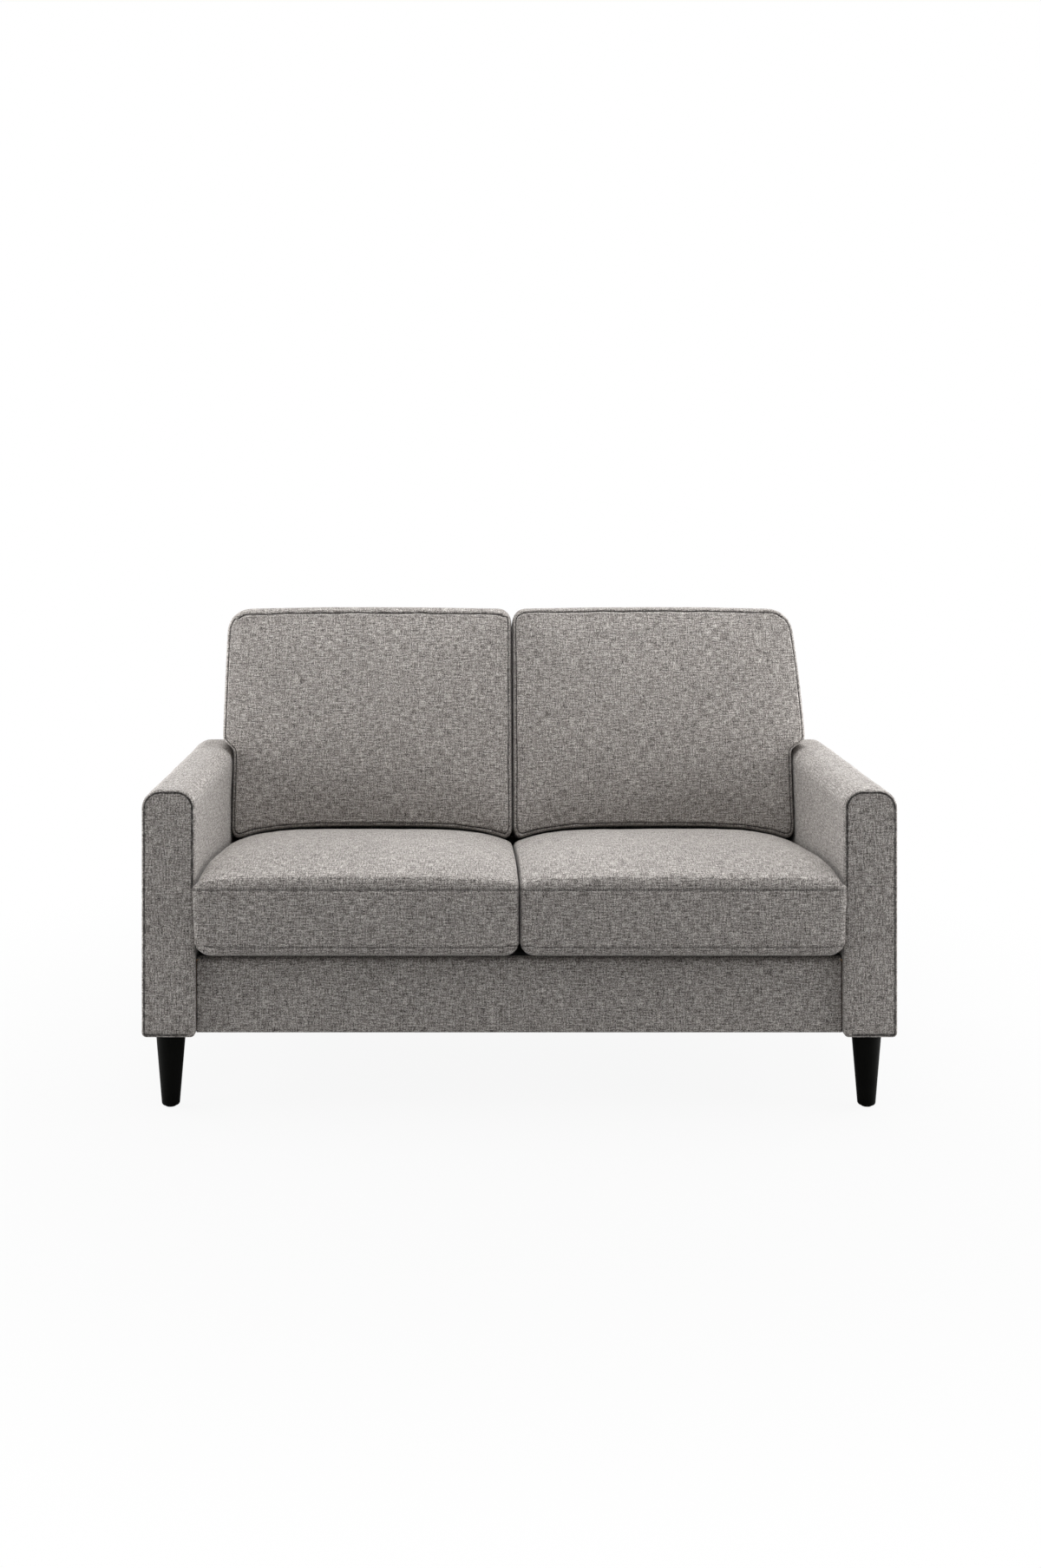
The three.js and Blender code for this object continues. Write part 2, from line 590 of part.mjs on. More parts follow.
function armBolts(side) {
  return armBoltPlaces().map((y, index) => {
    const shank = rodAlongX(
      ARM_BOLT_RADIUS,
      FASTENER_SIDES,
      [sideRailX - GAP - ARM_BOLT_HEAD_THICKNESS / 2, armInnerX + ARM_PADDING + ARM_BOLT_BITE],
      y,
      armBoltZ(),
    );
    const headSpan = [sideRailX - GAP - ARM_BOLT_HEAD_THICKNESS, sideRailX - GAP];
    const head = rodAlongX(ARM_BOLT_HEAD_RADIUS, HEX_SIDES, headSpan, y, armBoltZ());
    return piece(`${side}_arm_bolt_${index + 1}`, join(shank, head), "zinc");
  });
}

function legPieces(side) {
  const railTop = armBottom + ARM_BOTTOM_RAIL_HEIGHT;
  const boltTop = railTop + GAP + TEE_NUT_FLANGE_THICKNESS + HANGER_BOLT_ABOVE_NUT;
  const boltBottom = LEG_HEIGHT - HANGER_BOLT_IN_LEG;
  const bore = HANGER_BOLT_RADIUS + GAP;
  const legProfile = [
    [0, 0],
    [LEG_FOOT_RADIUS - LEG_FOOT_ROUND, 0],
    [LEG_FOOT_RADIUS - LEG_FOOT_ROUND * (1 - Math.SQRT1_2), LEG_FOOT_ROUND * (1 - Math.SQRT1_2)],
    [LEG_FOOT_RADIUS, LEG_FOOT_ROUND],
    [LEG_TOP_RADIUS, LEG_HEIGHT],
    [bore, LEG_HEIGHT],
    [bore, boltBottom - GAP],
    [0, boltBottom - GAP],
  ];
  const boltProfile = [
    [0, boltBottom],
    [HANGER_BOLT_RADIUS, boltBottom + HANGER_BOLT_POINT],
    [HANGER_BOLT_RADIUS, boltTop],
    [0, boltTop],
  ];
  const flangeBottom = railTop + GAP;
  const nutProfile = [
    [bore, railTop - TEE_NUT_BARREL_LENGTH],
    [TEE_NUT_BARREL_RADIUS, railTop - TEE_NUT_BARREL_LENGTH],
    [TEE_NUT_BARREL_RADIUS, flangeBottom],
    [TEE_NUT_FLANGE_RADIUS, flangeBottom],
    [TEE_NUT_FLANGE_RADIUS, flangeBottom + TEE_NUT_FLANGE_THICKNESS],
    [bore, flangeBottom + TEE_NUT_FLANGE_THICKNESS],
    [bore, railTop - TEE_NUT_BARREL_LENGTH],
  ];
  return legPlaces().flatMap(([end, y]) => [
    piece(`${side}_${end}_leg`, turned(legProfile, LEG_SIDES, legX, y), "blackWood"),
    piece(`${side}_${end}_hanger_bolt`, turned(boltProfile, FASTENER_SIDES, legX, y), "zinc"),
    piece(`${side}_${end}_tee_nut`, turned(nutProfile, FASTENER_SIDES, legX, y), "zinc"),
  ]);
}

// What an arm's side of the loveseat holds. The left side is its mirror image.
function sidePieces(side) {
  const boltHoles = armBoltPlaces().map((y) =>
    rodAlongX(
      ARM_BOLT_RADIUS + GAP,
      FASTENER_SIDES,
      [sideRailX - CUT_OVERRUN, frameHalfX + CUT_OVERRUN],
      y,
      armBoltZ(),
    ),
  );
  const sideRail = block(
    [sideRailX, frameHalfX],
    [frontRailRearY + GAP, rearRailY - GAP],
    [railBottom, deckPadBottom - GAP],
  );
  const outer = frameHalfX - BACK_PADDING;
  const postSpans = [[outer - BACK_POST_WIDTH, outer], backTimberDepth(), backPostHeights()];
  return [
    ...armPieces(side),
    ...armBolts(side),
    ...legPieces(side),
    ...seatCushionPieces(side),
    ...backCushionPieces(side),
    piece(`${side}_seat_side_rail`, cut(sideRail, ...boltHoles), "timber"),
    piece(`${side}_back_post`, leaningBlock(...postSpans), "timber"),
  ];
}

function backTimberDepth() {
  return [BACK_PADDING, BACK_THICKNESS - BACK_PADDING];
}

// The back's posts start above the seat's lowest level and end under the top rail.
function backPostHeights() {
  const low = heightAlongBack(BACK_THICKNESS, railBottom);
  return [low, backHeight - BACK_PADDING - BACK_RAIL_HEIGHT - GAP];
}

function backPieces() {
  const outer = frameHalfX - BACK_PADDING;
  const inner = outer - BACK_POST_WIDTH;
  const depth = backTimberDepth();
  const postHeights = backPostHeights();
  const topHeights = [backHeight - BACK_PADDING - BACK_RAIL_HEIGHT, backHeight - BACK_PADDING];
  const bottomHeights = [0, BACK_RAIL_HEIGHT];
  const middleHeights = [BACK_RAIL_HEIGHT + GAP, postHeights[1]];
  const halfPost = BACK_POST_WIDTH / 2;
  const timbers = {
    back_top_rail: [[-outer, outer], depth, topHeights],
    back_bottom_rail: [[-inner + GAP, inner - GAP], depth, bottomHeights],
    back_centre_post: [[-halfPost, halfPost], depth, middleHeights],
  };
  const room = Object.values(timbers).map(([x, d, h]) =>
    leaningBlock(grown(x, GAP), grown(d, GAP), grown(h, GAP)),
  );
  const underCover = postHeights[0] - BACK_THICKNESS;
  for (const span of [
    [-outer, -inner],
    [inner, outer],
  ]) {
    room.push(leaningBlock(grown(span, GAP), grown(depth, GAP), [underCover, postHeights[1] + GAP]));
  }
  const cover = cut(alongX(backOutline(), [-frameHalfX, frameHalfX]), ...room);
  return [
    piece("back_cover", cover, "upholstery"),
    ...Object.entries(timbers).map(([name, spans]) => piece(name, leaningBlock(...spans), "timber")),
  ];
}

// The back's outline from the side: a leaning slab with a level foot and a rounded top.
function backOutline() {
  const round = BACK_TOP_ROUND;
  const frontFoot = backPoint(0, heightAlongBack(0, baseBottom));
  const rearFoot = backPoint(BACK_THICKNESS, heightAlongBack(BACK_THICKNESS, baseBottom));
  const frontCorner = backPoint(round, backCornerHeight);
  const rearCorner = backPoint(BACK_THICKNESS - round, backCornerHeight);
  const shape = new THREE.Shape();
  shape.moveTo(...frontFoot);
  shape.lineTo(...rearFoot);
  shape.absarc(...rearCorner, round, -lean, Math.PI / 2 - lean, false);
  shape.absarc(...frontCorner, round, Math.PI / 2 - lean, Math.PI - lean, false);
  return shape;
}

// The front rail: a lip that backs the cover, and behind it the ledge that carries the clips.
function frontRailOutline() {
  const lipTop = deckTop - RAIL_COVER_THICKNESS - GAP;
  const shape = new THREE.Shape();
  shape.moveTo(frontRailY, railBottom);
  shape.lineTo(frontRailRearY, railBottom);
  shape.lineTo(frontRailRearY, ledgeTop);
  shape.lineTo(lipRearY, ledgeTop);
  shape.lineTo(lipRearY, lipTop);
  shape.lineTo(frontRailY, lipTop);
  return shape;
}

// The rear rail, whose back face is bevelled to lie against the leaning back.
function rearRailOutline() {
  const low = backPoint(-GAP, heightAlongBack(-GAP, railBottom));
  const high = backPoint(-GAP, heightAlongBack(-GAP, ledgeTop));
  const shape = new THREE.Shape();
  shape.moveTo(rearRailY, railBottom);
  shape.lineTo(...low);
  shape.lineTo(...high);
  shape.lineTo(rearRailY, ledgeTop);
  return shape;
}

// The front rail's cover, which wraps the rail's face and folds over its top and under its foot.
function railCoverOutline() {
  const thick = RAIL_COVER_THICKNESS;
  const top = RAIL_COVER_TOP_ROUND;
  const foot = RAIL_COVER_BOTTOM_ROUND;
  const shape = new THREE.Shape();
  shape.moveTo(lipRearY, deckTop);
  shape.absarc(railFaceY + top, deckTop - top, top, Math.PI / 2, Math.PI, false);
  shape.absarc(railFaceY + foot, baseBottom + foot, foot, Math.PI, Math.PI * 1.5, false);
  shape.lineTo(frontRailRearY, baseBottom);
  shape.lineTo(frontRailRearY, baseBottom + thick);
  shape.lineTo(railFaceY + thick, baseBottom + thick);
  shape.lineTo(railFaceY + thick, deckTop - thick);
  shape.lineTo(lipRearY, deckTop - thick);
  return shape;
}

function seatPieces() {
  const full = [-frameHalfX, frameHalfX];
  const dustTop = railBottom - GAP;
  const dustRear = backPoint(-GAP, heightAlongBack(-GAP, baseBottom))[0] - GAP;
  const padRear = backPoint(0, heightAlongBack(0, deckPadBottom))[0] - GAP;
  const stretcherY = [frontRailRearY + GAP, rearRailY - GAP];
  const stretcherX = [-STRETCHER_THICKNESS / 2, STRETCHER_THICKNESS / 2];
  const dustCover = block(full, [frontRailRearY + GAP, dustRear], [dustTop - DUST_COVER_THICKNESS, dustTop]);
  return [
    piece("seat_front_rail", alongX(frontRailOutline(), full), "timber"),
    piece("seat_rear_rail", alongX(rearRailOutline(), full), "timber"),
    piece(
      "seat_centre_stretcher",
      block(stretcherX, stretcherY, [railBottom, ledgeTop - STRETCHER_DROP]),
      "timber",
    ),
    piece("front_rail_cover", alongX(railCoverOutline(), full), "upholstery"),
    piece("seat_deck_pad", block(full, [lipRearY + GAP, padRear], [deckPadBottom, deckTop]), "deckCloth"),
    piece("seat_dust_cover", dustCover, "deckCloth"),
  ];
}

// The places of the springs across the seat.
function springPlaces() {
  const spacing = (sideRailX * 2) / SPRING_COUNT;
  return Array.from({ length: SPRING_COUNT }, (_, index) => (index + 1 / 2) * spacing - sideRailX);
}

// The wire's route: straight bars joined by half-circle bends, arching a little over the seat.
function springRoute(x) {
  const span = springRearY - springFrontY;
  const bend = span / SPRING_CURLS / 2;
  const flat = [[-SPRING_BAR_HALF, 0]];
  for (let curl = 0; curl < SPRING_CURLS; curl += 1) {
    const turn = curl % 2 === 0 ? 1 : -1;
    for (let step = 0; step <= BEND_STEPS; step += 1) {
      const angle = (Math.PI * step) / BEND_STEPS;
      const reach = turn * (SPRING_BAR_HALF + bend * Math.sin(angle));
      flat.push([reach, bend * (curl * 2 + 1 - Math.cos(angle))]);
    }
  }
  const lastTurn = SPRING_CURLS % 2 === 0 ? 1 : -1;
  flat.push([lastTurn * SPRING_BAR_HALF, span]);
  return flat.map(
    ([across, along]) =>
      new THREE.Vector3(
        x + across,
        springFrontY + along,
        springZ + SPRING_RISE * Math.sin((Math.PI * along) / span),
      ),
  );
}

// A solid wire along a nearly level route: a ring of points at each corner, and flat ends.
function wire(route, radius, sides) {
  const up = new THREE.Vector3(0, 0, 1);
  const positions = [];
  const faces = [];
  route.forEach((point, index) => {
    const before = route[Math.max(index - 1, 0)];
    const after = route[Math.min(index + 1, route.length - 1)];
    const arriving = point.clone().sub(before).normalize();
    const leaving = after.clone().sub(point).normalize();
    const along = arriving.add(leaving).normalize();
    const across = along.clone().cross(up).normalize();
    const rise = across.clone().cross(along);
    for (let side = 0; side < sides; side += 1) {
      const angle = (Math.PI * 2 * side) / sides;
      const spot = point
        .clone()
        .addScaledVector(across, radius * Math.cos(angle))
        .addScaledVector(rise, radius * Math.sin(angle));
      positions.push(spot.x, spot.y, spot.z);
      const next = (side + 1) % sides;
      if (index > 0) {
        const [here, back] = [index * sides, (index - 1) * sides];
        faces.push(back + side, here + side, here + next, back + side, here + next, back + next);
      }
    }
  });
  const last = (route.length - 1) * sides;
  for (let side = 1; side < sides - 1; side += 1) {
    faces.push(0, side, side + 1, last, last + side + 1, last + side);
  }
  const geometry = new THREE.BufferGeometry();
  geometry.setAttribute("position", new THREE.Float32BufferAttribute(positions, 3));
  geometry.setIndex(faces);
  return geometry;
}

// The least gap between two stretches of a spring that aren't next to each other.
function leastWireGap(route, radius) {
  let least = Infinity;
  route.forEach((point, index) => {
    for (const other of route.slice(index + BEND_STEPS)) {
      least = Math.min(least, point.distanceTo(other) - radius * 2);
    }
  });
  return least;
}

// A clip's outline: a plate on the rail that folds over the wire. It opens away from the seat.
function clipOutline(plate) {
  const shape = new THREE.Shape();
  shape.moveTo(-plate, -clipOuterRadius);
  shape.absarc(0, 0, clipOuterRadius, -Math.PI / 2, Math.PI / 2, false);
  shape.lineTo(-CLIP_TONGUE, clipOuterRadius);
  shape.lineTo(-CLIP_TONGUE, clipInnerRadius);
  shape.absarc(0, 0, clipInnerRadius, Math.PI / 2, -Math.PI / 2, true);
  shape.lineTo(-plate, -clipInnerRadius);
  return shape;
}

// A row of clips on one strip. Inward is 1 where the seat lies towards +Y, and -1 at the rear.
function clipStrip(wireY, inward) {
  const plate = SPRING_LEDGE - clipOuterRadius - GAP;
  const stripX = [-sideRailX + GAP, sideRailX - GAP];
  const strip = block(stripX, [-plate, 0], [-clipOuterRadius, -clipInnerRadius]);
  const jaws = springPlaces().map((x) => {
    const span = grown([x, x], CLIP_WIDTH / 2);
    return alongX(clipOutline(plate), span, CLIP_ARC_STEPS);
  });
  const made = join(strip, ...jaws);
  if (inward < 0) made.rotateZ(Math.PI);
  return made.translate(0, wireY, springZ);
}

function springPieces() {
  const pieces = springPlaces().map((x, index) =>
    piece(`seat_spring_${index + 1}`, wire(springRoute(x), SPRING_WIRE_RADIUS, WIRE_SIDES), "springSteel"),
  );
  pieces.push(piece("front_spring_clips", clipStrip(springFrontY, 1), "zinc"));
  pieces.push(piece("rear_spring_clips", clipStrip(springRearY, -1), "zinc"));
  return pieces;
}

const loveseat = new THREE.Group();
const rightSide = new THREE.Group();
const leftSide = new THREE.Group();
leftSide.scale.x = -1;
rightSide.add(...sidePieces("right"));
leftSide.add(...sidePieces("left"));
loveseat.add(...seatPieces(), ...springPieces(), ...backPieces(), rightSide, leftSide);

const leastGap = leastWireGap(springRoute(0), SPRING_WIRE_RADIUS);
console.log(`least gap of a spring to itself: ${leastGap.toFixed(2)} mm`);

export default loveseat;
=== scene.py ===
"""Dresses the CAD frame of a two-seat loveseat: cushions, covers, legs, trim, finishes and a studio.

Metres, +Z up, the seat opens towards -Y. Every piece follows the frame's own nodes.
"""

import math

import bmesh
import bpy
import numpy as np
from bpy.props import FloatProperty, FloatVectorProperty, IntProperty, PointerProperty
from mathutils import Matrix, Vector


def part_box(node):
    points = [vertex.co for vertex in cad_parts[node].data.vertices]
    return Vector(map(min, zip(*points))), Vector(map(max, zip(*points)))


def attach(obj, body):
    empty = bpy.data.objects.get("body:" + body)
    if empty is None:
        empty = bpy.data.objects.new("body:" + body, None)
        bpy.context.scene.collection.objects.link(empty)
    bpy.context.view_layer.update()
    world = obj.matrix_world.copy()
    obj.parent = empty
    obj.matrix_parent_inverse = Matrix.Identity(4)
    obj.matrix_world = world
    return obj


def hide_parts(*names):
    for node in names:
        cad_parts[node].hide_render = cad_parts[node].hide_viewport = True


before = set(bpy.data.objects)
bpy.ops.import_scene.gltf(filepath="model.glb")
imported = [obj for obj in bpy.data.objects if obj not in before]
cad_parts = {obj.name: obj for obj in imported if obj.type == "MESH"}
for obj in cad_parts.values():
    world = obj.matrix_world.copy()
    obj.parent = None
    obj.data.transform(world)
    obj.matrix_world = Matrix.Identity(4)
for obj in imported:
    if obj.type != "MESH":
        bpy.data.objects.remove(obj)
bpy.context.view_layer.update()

bl_info = {
    "name": "Loveseat dressing",
    "version": (1, 0, 0),
    "blender": (4, 5, 0),
    "location": "View3D > Sidebar > Loveseat",
    "description": "Makes the cushions, covers, legs, trim and finishes of a two-seat loveseat",
    "category": "Add Mesh",
}

SIDES = ("left", "right")
HALF_GAP = 0.0006  # from the loveseat's middle to the cushions beside it
SNUG = 0.0009  # from a cushion to the arm or the cushion that it rests against
BESIDE = [0, 0.0035, 0.007, 0.011, 0.0145, 0.018, 0.0225, 0.029, 0.038]  # grid lines near an edge
GRID = 0.0098  # from one grid line to the next, further in
SEAT_CORNERS = (0.014, 0.006)  # a seat cushion's corner radii, beside the arm and in the middle
EXACT = 5  # decimals to which a place on a grid is compared
WEAVE_FLECK, WEAVE_WEFT, WEAVE_WARP = WEAVE_SHARES = (1.25, 0.95, 0.75)
FLECK_SCALE, MOTTLE_SCALE = 430, 14  # the cloth's flecks and its broad unevenness
THREAD_SCALE, PUCKER_SCALE = 90, 150  # along a seam
FACE_SHIFT, PIECE_SLANT = (1.37, 2.11), 1.7  # keep the weave of faces and pieces apart
GREY = (0.3, 0.3, 0.3, 1)
LAID = {  # where each piece is cut from the cloth
    "left_seat_cushion": 0.31,
    "right_seat_cushion": 0.83,
    "left_back_cushion": 1.31,
    "right_back_cushion": 1.83,
    "left_arm_upholstery": 0.11,
    "right_arm_upholstery": 0.57,
    "left_arm_front_cloth": 0.23,
    "right_arm_front_cloth": 0.71,
    "back_upholstery": 2.4,
    "front_rail_upholstery": 3.1,
    "deck_padding": 4.2,
    "dust_cloth": 5.3,
    "zip": 0.4,
}

arm_low, arm_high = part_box("right_arm_cover")
seat_low, seat_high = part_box("right_seat_cushion_cover")
back_low, back_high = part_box("back_cover")
deck_low, deck_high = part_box("seat_deck_pad")
panel_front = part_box("right_arm_front_panel")[0].y
arm_front = panel_front + 0.0006

SIZES = {
    "corner_front": (0.453, "Height of the seat's front corners"),
    "corner_rear": (0.412, "Height of the seat's rear corners"),
    "side_crown": (0.022, "Rise of the seat's side edges over its corners"),
    "front_crown": (0.012, "Rise of the seat's front edge over its corners"),
    "seat_crown": (0.013, "Rise of the seat's middle over its edges"),
    "seat_puff": (0.004, "How far the seat's front face swells"),
    "meets_back": (0.461, "Height of the back cushion's front bottom edge"),
    "back_rise": (0.475, "From there to the top edge"),
    "back_depth": (0.135, "Thickness of the back cushion at its edges"),
    "back_crown": (0.025, "How far its front rises over its edges"),
    "back_top_crown": (0.004, "How far its top rises in the middle"),
    "top_puff": (0.0065, "How far the cloth behind the top seam swells"),
    "side_puff": (0.0032, "How far the cloth behind the side seams swells"),
    "outer_corner": (0.046, "Radius of the back cushion's outer top corner"),
    "inner_corner": (0.027, "Radius of its inner top corner"),
    "foot_corner": (0.019, "Radius of its bottom corners"),
    "bulge_left": (0.025, "How far the left cushion bulges over the arm"),
    "bulge_right": (0.032, "How far the right cushion bulges over the arm"),
    "taper_left": (0.005, "How much of the bulge is lost at the top"),
    "taper_right": (0.024, "How much of the bulge is lost at the top"),
    "bulge_run": (0.022, "Height over which the bulge grows"),
    "top_seam_left": (0.0085, "From the left cushion's top edge to its seam"),
    "top_seam_right": (0.004, "The same, right cushion"),
    "side_seam": (0.0015, "From a back cushion's side edge to its seam"),
    "front_lip": (0.0105, "How far the seat's front swells past the arm's edge"),
    "rest_gap": (0.0022, "Between the back cushion's hanging foot and the seat"),
    "roll": (0.018, "Radius of the seat cushions' edges"),
    "side_roll": (0.014, "The same, across the seat"),
    "front_roll": (0.014, "The same, towards the front"),
    "seat_foot_front": (0.031, "Radius of the seat's bottom corners"),
    "seat_foot_rear": (0.018, "The same, at its rear"),
    "seat_drop": (0.012, "How far the seat's rear corners sink"),
    "front_lift": (0.0088, "How far the seat's front foot stands off the rail"),
    "back_roll": (0.016, "Radius of the back cushions' edges"),
    "draw": (0.002, "How far a cushion's side pulls in between its corners"),
    "seam_depth": (0.0017, "Depth of the sewn crease"),
    "seam_width": (0.0022, "Half width of the sewn crease"),
    "cap": (0.026, "How far the filling may move a point of the cover"),
    "arm_roll": (0.0045, "Radius of the arm's edge beside its front seam"),
    "arm_rear_roll": (0.006, "Radius of the arm's rear edge"),
    "arm_foot_round": (0.009, "Radius of the arm's bottom edges"),
    "arm_round": (0.036, "Radius of the arm's top edges"),
    "stitch": (0.0032, "Length of one stitch"),
    "stitch_step": (0.0046, "From one stitch to the next"),
}
COLOURS = {
    "cloth": ((0.285, 0.262, 0.245), "The upholstery's middle tone"),
    "cloth_light": ((0.72, 0.69, 0.655), "The upholstery's light flecks"),
    "cloth_dark": ((0.03, 0.026, 0.025), "The upholstery's dark flecks"),
    # This colour also paints the seams' lines, partly as shadow of their creases, and the painted shade
    # beside them.
    "thread": ((0.03, 0.027, 0.026), "Seams and stitches"),
    "deck": ((0.024, 0.024, 0.026), "Cloth over the springs and under the seat"),
    "paint": ((0.0024, 0.0024, 0.002), "Satin black of the legs"),
    "timber": ((0.58, 0.38, 0.19), "Softwood of the frame"),
    "foam": ((0.79, 0.69, 0.42), "The cushions' cores"),
    "steel": ((0.12, 0.125, 0.135), "The seat springs"),
    "zinc": ((0.52, 0.53, 0.55), "Bolts, nuts, clips and staples"),
    "floor": ((0.38, 0.38, 0.38), "The studio's floor"),
}


def named(name):
    return name.replace("_", " ").capitalize()


def length(name, default, text):
    return FloatProperty(
        name=named(name), description=text, default=default, unit="LENGTH", precision=4
    )


def tint(name, default, text):
    return FloatVectorProperty(
        name=named(name), description=text, default=default, subtype="COLOR", size=3, min=0, max=1
    )


class LoveseatSizes(bpy.types.PropertyGroup):
    """Sizes of the soft pieces and the trim."""

    __annotations__ = {name: length(name, *row) for name, row in SIZES.items()}
    lean: FloatProperty(
        name="Back lean", description="Lean of the back", default=math.radians(12), subtype="ANGLE"
    )
    pressure: FloatProperty(name="Filling pressure", description="Pressure in the covers", default=4.0)
    frames: IntProperty(name="Filling frames", description="Steps of the cloth simulation", default=20)


class LoveseatColours(bpy.types.PropertyGroup):
    """Colours of the finishes."""

    __annotations__ = {name: tint(name, *row) for name, row in COLOURS.items()}


def sizes():
    return bpy.context.scene.loveseat_sizes


def colours():
    return bpy.context.scene.loveseat_colours


# Modelling by hand


def ready():
    """Leaves edit mode and selects nothing."""
    if bpy.context.object and bpy.context.object.mode != "OBJECT":
        bpy.ops.object.mode_set(mode="OBJECT")
    bpy.ops.object.select_all(action="DESELECT")


def hold(made):
    """Makes one object the only selected and active one."""
    ready()
    made.select_set(True)
    bpy.context.view_layer.objects.active = made
    return made


def settle(made):
    """Puts an object's place, turn and size into its mesh."""
    hold(made)
    bpy.ops.object.transform_apply(location=True, rotation=True, scale=True)
    return made


def added(name):
    """Names and settles the object that was just added."""
    made = bpy.context.active_object
    made.name = made.data.name = name
    return settle(made)


def opened(made):
    """Enters edit mode."""
    hold(made)
    bpy.ops.object.mode_set(mode="EDIT")
    return made


def open_whole(made):
    """Enters edit mode with the whole mesh selected."""
    opened(made)
    bpy.ops.mesh.select_all(action="SELECT")


def start(name, low, high):
    """A cube between two corners, in edit mode."""
    ready()
    low, high = Vector(low), Vector(high)
    bpy.ops.mesh.primitive_cube_add(size=1, location=(low + high) / 2, scale=high - low)
    return opened(added(name))


def pick(made, kind, test):
    """Selects only the edges or faces that pass the test."""
    bpy.ops.mesh.select_mode(type=kind)
    bpy.ops.mesh.select_all(action="DESELECT")
    mesh = bmesh.from_edit_mesh(made.data)
    mesh.normal_update()
    for item in mesh.edges if kind == "EDGE" else mesh.faces:
        if test(item):
            item.select_set(True)
    bmesh.update_edit_mesh(made.data)


def runs(edge, axis):
    """True if an edge lies along an axis."""
    step = edge.verts[1].co - edge.verts[0].co
    return abs(step[axis]) > 0.999 * step.length


def at(edge, **places):
    """True if both ends of an edge lie at the given x, y or z."""
    ends = edge.verts
    return all(
        abs(getattr(end.co, axis) - place) < 1e-5 for axis, place in places.items() for end in ends
    )


def bevel(made, test, radius, segments):
    """Rounds the edges that pass the test."""
    pick(made, "EDGE", test)
    bpy.ops.mesh.bevel(
        offset=radius, offset_type="OFFSET", segments=segments, profile=0.5, affect="EDGES"
    )


def round_edges(made, radius, segments, along=None, **places):
    """Rounds the edges at the given x, y or z, or only those of them that run along one axis."""
    bevel(made, lambda e: (along is None or runs(e, along)) and at(e, **places), radius, segments)


def divide(made, axis, cuts):
    pick(made, "EDGE", lambda edge: runs(edge, axis))
    bpy.ops.mesh.subdivide(number_cuts=cuts)


def sink(made, axis, sign, larger, steps):
    """Insets the large face towards an axis, step by step: (inwards, outwards along its normal)."""
    pick(made, "FACE", lambda f: f.normal[axis] * sign > 0.99 and f.calc_area() > larger)
    for inwards, outwards in steps:
        bpy.ops.mesh.inset(thickness=inwards, depth=outwards, use_even_offset=True)


def apply(made, kind, label, **values):
    """Adds one modifier and applies it."""
    hold(made)
    modifier = made.modifiers.new(label, kind)
    for key, value in values.items():
        setattr(modifier, key, value)
    bpy.ops.object.modifier_apply(modifier=modifier.name)


def ruffle(made, *waves):
    """Moves a cloth in and out over soft waves (strength, size), where its points are free."""
    group = "free" if "free" in made.vertex_groups else ""
    for strength, grain in waves:
        clouds = bpy.data.textures.new(f"{made.name}_waves", "CLOUDS")
        clouds.noise_scale = grain
        clouds.noise_depth = 1
        values = {"texture": clouds, "texture_coords": "LOCAL", "vertex_group": group}
        apply(made, "DISPLACE", "Cloth waves", strength=strength, mid_level=0.5, **values)
    made.vertex_groups.clear()


def read(items, key, width=3, kind=float):
    """One property of all vertices, faces, corners or stored values."""
    found = np.zeros(len(items) * width, kind)
    items.foreach_get(key, found)
    return found.reshape(-1, width) if width > 1 else found


def points_of(made):
    return read(made.data.vertices, "co")


def place_points(made, points):
    made.data.vertices.foreach_set("co", np.asarray(points, float).ravel())
    made.data.update()


def keep(made, name, values):
    """Stores one number for each vertex."""
    store = made.data.attributes.get(name) or made.data.attributes.new(name, "FLOAT", "POINT")
    store.data.foreach_set("value", np.asarray(values, np.float32))


def ramp(values, first, run):
    """Grows from 0 to 1 over the run that begins at the first value."""
    return np.clip((values - first) / run, 0, 1)


def group_of(made, name, weights):
    """A vertex group from one weight for each vertex."""
    group = made.vertex_groups.get(name) or made.vertex_groups.new(name=name)
    for index, weight in enumerate(weights):
        if weight > 0.001:
            group.add([index], float(min(weight, 1)), "REPLACE")
    return name


def lay_cloth(made, turned=False):
    """Gives a piece its weave map in metres, with each face laid along the axis it faces."""
    mesh = made.data
    totals = read(mesh.polygons, "loop_total", 1, np.int32)
    axis = np.repeat(np.abs(read(mesh.polygons, "normal")).argmax(1), totals)
    x, y, z = points_of(made)[read(mesh.loops, "vertex_index", 1, np.int32)].T
    place = LAID.get(made.name, LAID["zip"])
    across = np.where(axis == 0, y, x) + axis * FACE_SHIFT[0] + place
    along = np.where(axis == 2, y, z) + axis * FACE_SHIFT[1] + place * PIECE_SLANT
    laid = np.stack([along, across] if turned else [across, along], 1)
    layer = mesh.uv_layers.get("Weave") or mesh.uv_layers.new(name="Weave")
    layer.data.foreach_set("uv", laid.astype(np.float32).ravel())


def finish_piece(made, material, body, nodes=(), degrees=50):
    """Gives a finished piece its shading, material, body, slot and the nodes that it stands for."""
    hold(made)
    bpy.ops.object.shade_smooth_by_angle(angle=math.radians(degrees))
    made.data.materials.clear()
    made.data.materials.append(material)
    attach(made, body)
    if nodes:
        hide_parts(*nodes)


def finish_cover(made, node, turned=False):
    """Lays the cloth of a cover that is glued or stapled to the frame, and finishes it."""
    lay_cloth(made, turned)
    finish_piece(made, upholstery(), "frame", [node])


